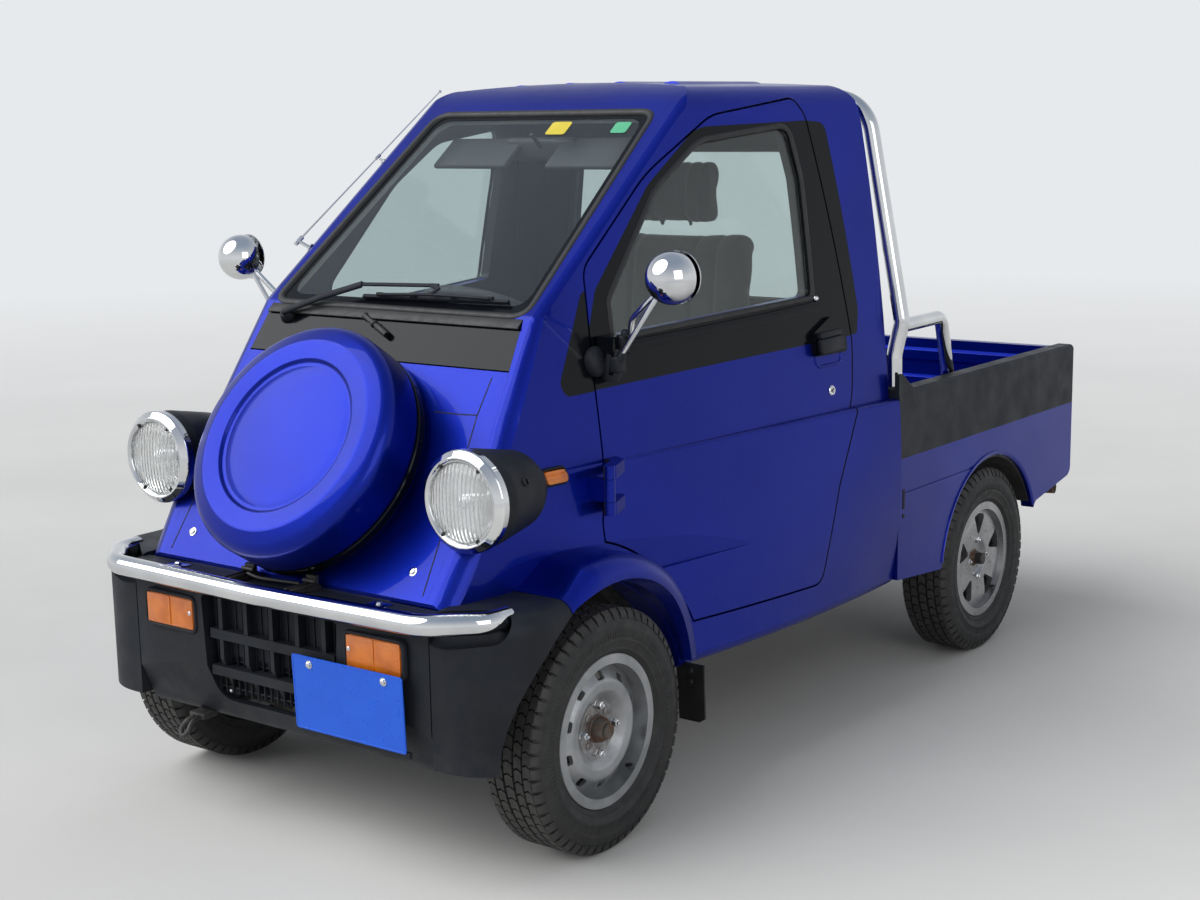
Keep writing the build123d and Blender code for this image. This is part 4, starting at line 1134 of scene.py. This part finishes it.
def build_screen_trim():
    """Rubber seal round the windscreen, the glass's black border and the rear window's seal."""
    seal = bmesh.new()
    add_sweep(seal, [on_screen(u, v) for u, v in screen_outline(2)], SCREEN_OUT, SCREEN_SEAL, True)
    rear = round_outline(REAR_WINDOW, 6)
    add_sweep(seal, upright(rear, 1262), BEHIND, REAR_SEAL_OUTSIDE, True)
    add_sweep(seal, upright(rear, 1227), AHEAD, REAR_SEAL_INSIDE, True)
    add_piece("window_seals", seal, "black_plastic", sharp=50, material=RUBBER)
    band = bmesh.new()
    outer = screen_outline(-2)
    inner = round_outline([(-360, 34, 46), (360, 34, 46), (318, 684, 46), (-318, 684, 46)], 8)
    rows = []
    for outline, lift in ((outer, -4.8), (inner, -4.8), (inner, -5.4), (outer, -5.4)):
        rows.append([band.verts.new(on_screen(u, v, lift)) for u, v in outline])
    add_skin(band, rows, True)
    add_piece("screen_border", band, "black_gloss")
    for name, material, low, high in SCREEN_LABELS:
        label = bmesh.new()
        outline = round_rectangle(low, high, 8, 4)
        add_plate(label, [on_screen(u, v, -4.6) for u, v in outline], -SCREEN_OUT * 0.5)
        add_piece(name, label, "black_plastic", material=material)


WIPER_ARM = [(-9, -3), (-9, 2), (-6, 5), (6, 5), (9, 2), (9, -3)]
WIPER_BLADE = [(-1.2, -8), (-4.5, 0), (-4.5, 3), (4.5, 3), (4.5, 0), (1.2, -8)]
COWL_SEAL = [(-20, -3), (-19, 1.2), (0, 2.4), (17, 2.2), (20, 0), (20, -3)]


def build_wiper():
    """Single wiper on its pivot cap."""
    bm = bmesh.new()
    pivot, out = nose_place(-318, 1112)
    add_lathe(bm, pivot - out * 6, out, [(0, 0), (20, 0), (20, 8), (15, 18), (11, 24), (0, 26)], 28)
    hub = pivot + out * 20
    joint = on_screen(-120, 52, 20)
    tip = on_screen(104, 66, 16)
    low = on_screen(-110, 30, 4)
    high = on_screen(318, 40, 4)
    middle = low.lerp(high, 0.5)
    add_sweep(bm, [hub, hub.lerp(joint, 0.5) + SCREEN_OUT * 4, joint], SCREEN_OUT, WIPER_ARM)
    add_sweep(bm, [joint - Vector((6, 0, 0)), tip], SCREEN_OUT, [(-4.5, -2), (-4.5, 2), (4.5, 2), (4.5, -2)])
    add_sweep(bm, [low, middle, high], SCREEN_OUT, WIPER_BLADE)
    for part in (0.12, 0.36, 0.64, 0.88):
        spot = low.lerp(high, part)
        add_box(bm, spot - Vector((9, 5, -2)), spot + Vector((9, 5, 10)))
    ends = [low.lerp(high, share) + SCREEN_OUT * 7 for share in (0.12, 0.88)]
    arch = [ends[0], middle + SCREEN_OUT * 14, ends[1]]
    add_tube(bm, arch, 3.6, 90, 8)
    hook = [tip - Vector((20, 0, 0)), tip + Vector((8, 0, 0)) - SCREEN_UP * 12, middle + SCREEN_OUT * 15]
    add_sweep(bm, hook, SCREEN_OUT, [(-5, -2), (-5, 3), (5, 3), (5, -2)])
    add_piece("wiper", bm, "black_plastic")


def build_cowl_trim():
    """Washer pipe on the black panel, and the strip between that panel and the windscreen."""
    jets = bmesh.new()
    low, out = nose_place(24, 1084)
    high = nose_place(-70, 1122)[0] + out * 9
    low = low + out * 9
    way = (low - high).normalized()
    add_rod(jets, high, low, 6.5, 20)
    add_rod(jets, low - way * 44, low, 9, 20, 8)
    add_rod(jets, high.lerp(low, 0.42), high.lerp(low, 0.5), 9.5, 20)
    add_rod(jets, high + out * 2, high - out * 12, 9, 20)
    add_rod(jets, low - way * 20, low - way * 20 - out * 12, 6, 16)
    add_piece("washer_jets", jets, "black_plastic", material=RUBBER)
    trim = bmesh.new()
    path = [nose_place(x, 1133)[0] for x in range(-384, 385, 24)]
    add_sweep(trim, path, SCREEN_OUT, COWL_SEAL)
    add_piece("cowl_seal", trim, "black_plastic", material=RUBBER)


def build_aerial():
    """Chrome rod aerial up the right pillar, on a foot and one clamp, drawn on the left and turned over."""
    bm = bmesh.new()
    foot = Vector((450, 181, 1273))
    clamp = Vector((420, 443, 1470))
    way = (clamp - foot).normalized()
    tip = foot + way * ((AERIAL_TOP - foot.z) / way.z)
    add_rod(bm, foot, tip, 2.2, 10, 1.4)
    add_rod(bm, foot - way * 12, foot + way * 16, 6, 14)
    add_rod(bm, clamp - way * 9, clamp + way * 9, 4.4, 12)
    for place, radius in ((foot, 4.5), (clamp, 3.2)):
        skin = nearest_skin(place)
        add_rod(bm, place, skin + (skin - place).normalized() * 2, radius, 12)
        base = [(0, -1), (radius * 2.6, -1), (radius * 2.6, 1.6), (radius * 2, 3), (0, 3)]
        add_lathe(bm, skin, place - skin, base, 20)
    add_lathe(bm, tip - way * 2, way, [(0, 0), (3.6, 1), (3.6, 6), (0, 8)], 12)
    add_piece("aerial", bm, "chrome", sharp=30, flip=True)


# Doors: seals, belt moulding, handle, lock, mirrors

DOOR_GLASS = [(248, 1082, 14), (255, 1165, 30), (470, 1395, 200), (640, 1497, 150), (968, 1531, 40),
              (984, 1400, 60), (966, 1112, 20)]
DOOR_SEAL = [(-8, -8), (-7, 0), (-3, 3.2), (3, 3.4), (7, 1.5), (8, -2)]
BELT_LINE = [(226, 1058), (500, 1066), (760, 1076), (985, 1088)]
BELT_MOULDING = [(-12, -2), (-12, 3), (-8, 7), (6, 8.5), (12, 5), (13, -2)]
HANDLE_CUP = [(950, 962), (956, 942), (964, 936), (1046, 938), (1056, 944), (1062, 964)]


def build_door_trim():
    middle = Vector((620, 1290))
    for hand, flip in (("left", False), ("right", True)):

        def add_to_door(name, bm, slot, sharp, material=None):
            add_piece(f"{name}_{hand}", bm, slot, f"door_{hand}_body", sharp, flip, material)

        seal = bmesh.new()
        grown = [p + (p - middle).normalized() * 6 for p in round_outline(DOOR_GLASS, 7)]
        path, ups = laid(side_place, grown, 22, True)
        add_sweep(seal, path, ups, DOOR_SEAL, True)
        add_to_door("door_seal", seal, "black_plastic", 50, RUBBER)
        belt = bmesh.new()
        path, ups = laid(side_place, BELT_LINE, 30)
        add_sweep(belt, path, ups, BELT_MOULDING)
        add_to_door("belt_moulding", belt, "black_gloss", 50)
        grip = bmesh.new()
        place, out = side_place(1004, 988)
        across = Vector((0, 1, 0.02)).normalized()
        up = out.cross(across).normalized()
        turn = Matrix((out, across, up)).transposed()
        spot = place + out * 2
        add_pad(grip, spot, (9, 58, 20), 7, turn)
        add_box(grip, spot - Vector((14, 52, 4)) + up * 24, spot + Vector((6, 50, 12)) + up * 24, 4, turn, 3)
        add_to_door("door_grip", grip, "black_plastic", 40)
        cup = bmesh.new()
        path, ups = laid(side_place, HANDLE_CUP, 12)
        add_sweep(cup, path, ups, [(-5, -2), (-3, 2.0), (0, 3), (3, 2.0), (5, -2)])
        add_to_door("handle_cup", cup, "body_paint", 50)
        bright = bmesh.new()
        place, out = side_place(1010, 872)
        barrel = [(6, 0), (13, 0), (13, 3.4), (11, 5), (7.5, 4.6), (7, 2.4), (0, 2.2)]
        add_lathe(bright, place - out * 2, out, barrel, 32)
        knob, out = side_place(976, 1106)
        add_lathe(bright, knob, out, [(0, 0), (8, 0), (8, 3), (6, 8), (3.5, 10), (0, 10.5)], 24)
        add_to_door("door_lock", bright, "chrome", 30)
        # Key slot: a thin dark block of painted shadow
        slot = bmesh.new()
        add_box(slot, place + out * 2.2 - Vector((1, 1, 4)), place + out * 3 + Vector((1, 1, 4)), 0.4)
        add_to_door("key_slot", slot, "black_plastic", 40, SHADOW_LINE)
        draw_mirror(add_to_door)
        draw_lining(add_to_door)


MIRROR_HEAD = Vector((664, 184, 1226))
MIRROR_RIM = [(52.6, 0), (56.4, 0), (56.9, 2.6), (55, 5), (52.6, 4)]


def draw_mirror(add_to_door):
    """Mirror glass in its bright rim, and the black boot and clamps of its arm."""
    glass = bmesh.new()
    add_knob(glass, MIRROR_HEAD + BEHIND * 27, BEHIND, [(53, 0), (53, 1.4), (50, 2.4)], 56)
    add_to_door("mirror_glass", glass, "chrome", 30, MIRROR)
    rim = bmesh.new()
    add_lathe(rim, MIRROR_HEAD + BEHIND * 25, BEHIND, MIRROR_RIM, 56)
    add_to_door("mirror_rim", rim, "chrome", 50)
    boot = bmesh.new()
    cuff = [(0, -46), (20, -46), (24, -36), (23, 12), (17, 28), (0, 30)]
    add_lathe(boot, (497, 200, 1040), (0.25, 0, 1), cuff, 28)
    place, out = side_place(176, 1036)
    add_knob(boot, place - out * 4, out, [(34, 0), (34, 10), (28, 20), (16, 26)], 32)
    add_box(boot, (500, 176, 1012), (527, 206, 1050), 7, None, 3)
    add_box(boot, (498, 198, 1052), (526, 226, 1094), 7, None, 3)
    add_rod(boot, (519, 214, 1092), (522, 213, 1104), 11, 20, 9)
    add_rod(boot, (520, 190, 1040), (532, 190, 1057), 11, 20, 8)
    add_to_door("mirror_boot", boot, "black_plastic", 50)


def inner_place(y, z, deep):
    """Place inside the door's skin, so deep behind its outer face."""
    return side_place(y, z)[0] - Vector((deep, 0, 0))


def draw_lining(add_to_door):
    """Inner trim of a door: arm rest, pull and winder."""
    bm = bmesh.new()
    add_pad(bm, inner_place(730, 800, 66), (16, 170, 17), 10)
    add_pad(bm, inner_place(600, 965, 60), (9, 55, 11), 6)
    centre = inner_place(480, 770, 48)
    add_knob(bm, centre, (-1, 0, 0), [(20, 0), (20, 8), (12, 14)], 24)
    add_rod(bm, centre - Vector((10, 0, 0)), centre + Vector((-14, 50, 40)), 5)
    add_rod(bm, centre + Vector((-12, 50, 40)), centre + Vector((-34, 50, 40)), 8)
    add_to_door("door_lining", bm, "trim", 40)


def build_strip_seams():
    """Two upright joins of the black strip behind each door's window, drawn as thin lines of painted shadow.
    """
    bm = bmesh.new()
    for ends in (((1090, 1010), (1064, 1530)), ((1124, 1020), (1096, 1530))):
        path = laid(side_place, ends, 600)[0]
        add_sweep(bm, path, Vector((0.98, 0, 0.2)), [(-1.1, -1), (-1.1, 0.6), (1.1, 0.6), (1.1, -1)])
    add_pair("strip_seams", bm, "black_gloss", material=SHADOW_LINE)


# Load bed, roll bar and tail

def build_bed_details():
    """Floor ribs, rail caps, latches, the gate's pressings and the slots in the skirt."""
    rib = bmesh.new()
    add_box(rib, (-545, 1330, 599), (-505, 2340, 605), 2.6)
    ribs = make_piece("bed_floor_ribs", rib, MATERIALS["body_paint"], 40)
    repeated(ribs, ROW_TREE, 11, (105, 0, 0))
    fit(ribs, "body", "body_paint")
    dark = bmesh.new()
    path = [Vector((612, BED_FRONT - 8 + i * 60, 838)) for i in range(19)]
    add_sweep(dark, path, UPWARD, [(-22, -3), (-20, 0.6), (20, 0.6), (22, -3)])
    add_box(dark, (598, REAR_END - 30, 700), (626, REAR_END - 2, 726), 4)
    add_pair("bed_hooks", dark, "black_plastic", sharp=40)
    latch = bmesh.new()
    add_box(latch, (566, REAR_END - 44, 770), (582, REAR_END - 18, 806), 3)
    add_rod(latch, (574, REAR_END - 36, 806), (574, REAR_END - 36, 826), 6)
    add_pair("gate_latches", latch, "chrome", sharp=30)
    press = bmesh.new()
    for z in (682, 752):
        add_box(press, (-500, REAR_END - 3, z - 18), (500, REAR_END - 0.2, z + 18), 1.3)
    add_box(press, (-90, REAR_END - 3, 786), (90, REAR_END - 0.4, 812), 1.3)
    add_piece("gate_pressings", press, "body_paint", "tailgate_body", 40)
    # Slot and round hole in the skirt as dark shapes of painted shadow
    slot = bmesh.new()
    add_box(slot, (639, 1288, 520), (641.2, 1300, 574), 0.8)
    add_knob(slot, (640, 1294, 500), (1, 0, 0), [(6, 0), (6, 1.4)], 16)
    add_pair("skirt_slots", slot, "body_paint", material=SHADOW_LINE)


def arch_spokes(start, step, count):
    """Directions from the rear axle round its wheel opening, in degrees from upright."""
    angles = [math.radians(start + step * i) for i in range(count)]
    return [Vector((0, math.sin(a), math.cos(a))) for a in angles]


def build_arches():
    """Dark liners over the rear wheels, and the rolled edge of the bed side round each opening."""
    liner = bmesh.new()
    spokes = arch_spokes(-74, 5, 29)
    path = [Vector((560, WHEELBASE, WHEEL_Z)) + spoke * 303 for spoke in spokes]
    add_sweep(liner, path, spokes, [(-72, 0), (-72, 3), (72, 3), (72, 0)])
    add_pair("arch_liners", liner, "chassis_paint", sharp=40)
    lip = bmesh.new()
    path = [Vector((640, WHEELBASE, WHEEL_Z)) + spoke * 319 for spoke in arch_spokes(-80, 4.97, 31)]
    section = [(-4, -8), (-4, 1.5), (-2, 3.6), (3, 3.2), (9, 0.6), (10, -4), (9, -8)]
    add_sweep(lip, path, Vector((1, 0, 0)), section)
    add_pair("rear_arch_lips", lip, "body_paint", sharp=50)


def build_tail_lamps():
    dark = bmesh.new()
    rim = upright(round_rectangle((427, 467), (563, 548), 12, 5), REAR_END - 6)
    add_sweep(dark, rim, BEHIND, [(-4, -2), (-4, 4), (0, 5.6), (4, 4), (4, -2)], True)
    add_pair("tail_lamp_frames", dark, "black_plastic")
    amber = bmesh.new()
    add_box(amber, (520, REAR_END - 3, 472), (558, REAR_END - 0.4, 543), 1.2)
    add_pair("tail_signals", amber, "amber")
    white = bmesh.new()
    add_box(white, (432, REAR_END - 3, 472), (462, REAR_END - 0.4, 543), 1.2)
    add_pair("reversing_lamps", white, "lamp_glass", material=WHITE_LENS)


def build_roll_bar_fittings():
    dark = bmesh.new()
    add_lathe(dark, (604, 1302, 839), UPWARD, [(20, 0), (34, 0), (34, 5), (28, 9), (21, 9)], 32)
    add_pair("roll_bar_clamps", dark, "black_plastic", sharp=40)


# Inside of the cab

STEERING_CENTRE = Vector((0, 400, 1070))
STEERING_AXIS = Vector((0, 0.5, 0.866)).normalized()
STEERING_PAD = [(0, -8), (46, -8), (52, 2), (48, 12), (30, 17), (0, 18)]
DIALS = [Vector((-52, 231, 1078)), Vector((52, 231, 1078))]
DIAL_RADIUS = 44


def build_steering_trim():
    """Blank pad and stalks of the steering wheel."""
    bm = bmesh.new()
    add_lathe(bm, STEERING_CENTRE - STEERING_AXIS * 6, STEERING_AXIS, STEERING_PAD, 40)
    add_piece("steering_pad", bm, "trim", "steering_wheel_body", 40)
    stalk = bmesh.new()
    foot = STEERING_CENTRE - STEERING_AXIS * 62
    for sign in (-1, 1):
        add_rod(stalk, foot, foot + Vector((sign * 120, -6, 24)), 7, 12, 5)
    add_piece("column_stalks", stalk, "trim", sharp=40)


def build_controls():
    """Shelf, vents, gear and hand brake levers, and pedals."""
    trim = bmesh.new()
    add_box(trim, (-420, 214, 960), (-180, 238, 1030), 8, None, 3)
    add_box(trim, (-440, 150, 1086), (-300, 190, 1112), 6, None, 3)
    for x in (-330, -250, 330, 250):
        add_box(trim, (x - 32, 220, 1040), (x + 32, 240, 1070), 6, None, 3)
        for step in range(4):
            add_box(trim, (x - 28, 238, 1045 + step * 6), (x + 28, 243, 1047 + step * 6), 0.8)
    add_box(trim, (180, 218, 940), (300, 238, 1020), 6, None, 3)
    add_tube(trim, [(-90, 560, 420), (-92, 540, 560), (-84, 520, 680), (-70, 500, 740)], 7, 40, 10)
    add_lathe(trim, (-70, 500, 738), (0, -0.3, 1), [(0, 0), (16, 2), (20, 14), (16, 26), (0, 30)], 24)
    add_box(trim, (150, 560, 410), (180, 800, 470), 10, None, 3)
    add_rod(trim, (165, 640, 460), (165, 500, 560), 11)
    for x in (-120, 0, 110):
        add_box(trim, (x - 28, 196, 520), (x + 28, 208, 580), 5, Matrix.Rotation(-0.5, 3, "X"), 3)
        add_rod(trim, (x, 196, 560), (x, 120, 720), 6)
    add_piece("cab_controls", trim, "trim", sharp=40)


def build_dials():
    """Two round dials with blank marks and a needle each."""
    dial = bmesh.new()
    marks = bmesh.new()
    facing = Vector((0, 1, 0.25)).normalized()
    first, second, out = frame_of(facing)
    edge = [(0, 0), (DIAL_RADIUS, 0), (DIAL_RADIUS, 3), (DIAL_RADIUS - 3, 4), (0, 3)]
    for centre in DIALS:
        add_lathe(dial, centre, facing, edge, 40)
        for turn in range(11):
            angle = math.radians(-130 + turn * 26)
            spoke = first * math.sin(angle) + second * math.cos(angle)
            spot = centre + out * 4 + spoke * 34
            add_rod(marks, spot, spot + spoke * 6, 0.9, 6)
        add_rod(marks, centre + out * 5, centre + out * 5 - second * 26, 1.0, 6)
    add_piece("dial_faces", dial, "trim", sharp=30, material=DIAL)
    add_piece("dial_marks", marks, "trim", sharp=30, material=PALE_PRINT)


def build_cab_fittings():
    """Inside mirror, sun visors and seat belt."""
    bm = bmesh.new()
    stem = on_screen(0, 640, -16)
    lean = Matrix.Rotation(0.3, 3, "X")
    add_rod(bm, stem, stem + Vector((0, 36, -34)), 5)
    add_box(bm, stem + Vector((-108, 36, -66)), stem + Vector((108, 62, -8)), 14, lean, 4)
    with_screen = Matrix((Vector((1, 0, 0)), SCREEN_UP, SCREEN_OUT)).transposed()
    for sign in (-1, 1):
        add_pad(bm, on_screen(sign * 180, 622, -62), (118, 55, 7), 6, with_screen)
    add_piece("cab_mirror_and_visors", bm, "trim", sharp=40)
    glass = bmesh.new()
    add_box(glass, stem + Vector((-101, 60, -60)), stem + Vector((101, 64, -14)), 2, lean)
    add_piece("cab_mirror_glass", glass, "chrome", sharp=30, material=MIRROR)
    belt = bmesh.new()
    path = rounded_path([(520, 1190, 1330), (470, 1150, 1180), (330, 1120, 900), (290, 1080, 660)], 80)
    add_sweep(belt, path, Vector((0, -1, 0.2)), [(-23, -0.7), (-23, 0.7), (23, 0.7), (23, -0.7)])
    add_piece("seat_belt", belt, "seat_cloth", sharp=30)


# Seat pads, in metres

CLOTH_PRESSURE = 4
CLOTH_FRAMES = 20
PAD_SHRINK = 0.985
VOXEL = 0.006
CHANNEL_LINES = (0.42, 0.72)
CHANNEL_WIDTH = 0.006
CHANNEL_DEPTH = 0.006


def padded(source, name, cap):
    """Cushion from a CAD solid: remeshed, blown up as cloth, capped, held in its box and smoothed."""
    bm = bmesh.new()
    bm.from_mesh(node[source].data)
    bmesh.ops.remove_doubles(bm, verts=bm.verts, dist=0.0002)
    low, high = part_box(source)
    middle = (low + high) / 2
    smaller = Matrix.Translation(middle) @ Matrix.Scale(PAD_SHRINK, 4) @ Matrix.Translation(-middle)
    bmesh.ops.transform(bm, matrix=smaller, verts=bm.verts)
    data = bpy.data.meshes.new(name)
    bm.to_mesh(data)
    bm.free()
    obj = bpy.data.objects.new(name, data)
    bpy.context.scene.collection.objects.link(obj)
    remesh = obj.modifiers.new("remesh", "REMESH")
    remesh.mode = "VOXEL"
    remesh.voxel_size = VOXEL
    plain_mesh(obj)
    blow_up(obj, cap)
    for vertex in obj.data.vertices:
        for axis in range(3):
            vertex.co[axis] = min(max(vertex.co[axis], low[axis]), high[axis])
    soften = obj.modifiers.new("soften", "SMOOTH")
    soften.iterations = 6
    plain_mesh(obj)
    sew_channels(obj, low, high)
    obj.data.shade_smooth()
    obj.data.materials.clear()
    obj.data.materials.append(MATERIALS["seat_cloth"])
    fit(obj, "body", "seat_cloth", source)


def blow_up(obj, cap):
    """Runs cloth under pressure, and lets no point move further than the cap."""
    before = [v.co.copy() for v in obj.data.vertices]
    cloth = obj.modifiers.new("cloth", "CLOTH")
    cloth.settings.use_pressure = True
    cloth.settings.uniform_pressure_force = CLOTH_PRESSURE
    cloth.settings.effector_weights.gravity = 0
    cloth.settings.quality = 3
    scene = bpy.context.scene
    for number in range(1, CLOTH_FRAMES + 1):
        scene.frame_set(number)
    plain_mesh(obj)
    scene.frame_set(1)
    for vertex, start in zip(obj.data.vertices, before):
        move = vertex.co - start
        if move.length > cap:
            vertex.co = start + move.normalized() * cap


def sew_channels(obj, low, high):
    """Presses the sewn lines of the centre panel into the cushion."""
    middle = (low.x + high.x) / 2
    half = (high.x - low.x) / 2
    for vertex in obj.data.vertices:
        across = abs(vertex.co.x - middle)
        depth = 0.0
        for line in CHANNEL_LINES:
            near = abs(across - half * line) / CHANNEL_WIDTH
            depth = max(depth, math.exp(-near * near) * CHANNEL_DEPTH)
        if abs(vertex.normal.x) < 0.5:
            vertex.co -= vertex.normal * depth


# Floor and world

FLOOR_RADIUS = 40
FADE_START = 3.5
FADE_END = 13.0
SKYLIGHT_LEVEL = 0.42


def seen_rays(tree):
    """One for the rays that show the backdrop: straight, mirrored or through glass."""
    rays = tree.nodes.new("ShaderNodeLightPath").outputs
    seen = calc(tree, "MAXIMUM", rays["Is Camera Ray"], rays["Is Glossy Ray"])
    return calc(tree, "MAXIMUM", seen, rays["Is Transmission Ray"])


def make_floor():
    """Pale ground that fades into the backdrop with distance."""
    material, tree, shader = new_material("pale_floor")
    cloud = patches(tree, 0.7, 0.3, 0.7, detail=6, rough=0.6)
    give(tree, shader, {
        "Base Color": mixed(tree, cloud, (0.60, 0.595, 0.58), (0.66, 0.655, 0.64)),
        "Roughness": patches(tree, 3, 0.3, 0.7, 0.75, 0.9),
    })
    far = times(tree, remap(tree, length_of(tree, own_place(tree)), FADE_START, FADE_END), seen_rays(tree))
    glow = add_node(tree, "ShaderNodeEmission", {"Color": (*BACKDROP, 1), "Strength": 1.0})
    pick = add_node(tree, "ShaderNodeMixShader", {0: far, 1: shader.outputs[0], 2: glow.outputs[0]})
    out = [n for n in tree.nodes if n.type == "OUTPUT_MATERIAL"][0]
    tree.links.new(pick.outputs[0], out.inputs["Surface"])
    return material


def build_stage():
    bm = bmesh.new()
    bmesh.ops.create_circle(bm, cap_ends=True, segments=96, radius=FLOOR_RADIUS)
    data = bpy.data.meshes.new("floor")
    bm.to_mesh(data)
    bm.free()
    data.materials.append(make_floor())
    floor = bpy.data.objects.new("floor", data)
    bpy.context.scene.collection.objects.link(floor)
    world = bpy.data.worlds.new("studio")
    world.use_nodes = True
    tree = world.node_tree
    tree.nodes.clear()
    out = tree.nodes.new("ShaderNodeOutputWorld")
    way = add_node(tree, "ShaderNodeTexCoord", {}).outputs["Generated"]
    shade = mixed(tree, remap(tree, axis_of(tree, way, "Z"), 0.12, 0.9), BACKDROP, SKY_HIGH)
    seen = add_node(tree, "ShaderNodeBackground", {"Color": shade, "Strength": 1.0})
    lit = add_node(tree, "ShaderNodeBackground", {"Color": (*SKYLIGHT, 1), "Strength": SKYLIGHT_LEVEL})
    pick = add_node(tree, "ShaderNodeMixShader", {0: seen_rays(tree), 1: lit.outputs[0], 2: seen.outputs[0]})
    tree.links.new(pick.outputs[0], out.inputs["Surface"])
    bpy.context.scene.world = world
    bpy.context.scene.view_settings.view_transform = "Standard"


add_camera()
sun_light("key", (-0.47, -0.55, 0.70), 2.8, 60)
area_light("fill", (4.6, -2.6, 2.6), (0, 0, 0.6), 3.0, 45)
build_stage()
dress_cad()
build_tyres()
build_wheel_fittings()
build_mud_flaps()
build_plate()
build_signal_details()
build_grille_details()
build_bumper_details()
build_nose_seams()
build_lamps()
build_cover()
build_screen_trim()
build_wiper()
build_cowl_trim()
build_aerial()
build_door_trim()
build_strip_seams()
build_bed_details()
build_arches()
build_tail_lamps()
build_roll_bar_fittings()
build_steering_trim()
build_controls()
build_dials()
build_cab_fittings()
padded("seat_cushion", "cushion_pad", 0.014)
padded("seat_back", "back_pad", 0.014)
padded("seat_headrest", "headrest_pad", 0.010)

bpy.context.view_layer.update()
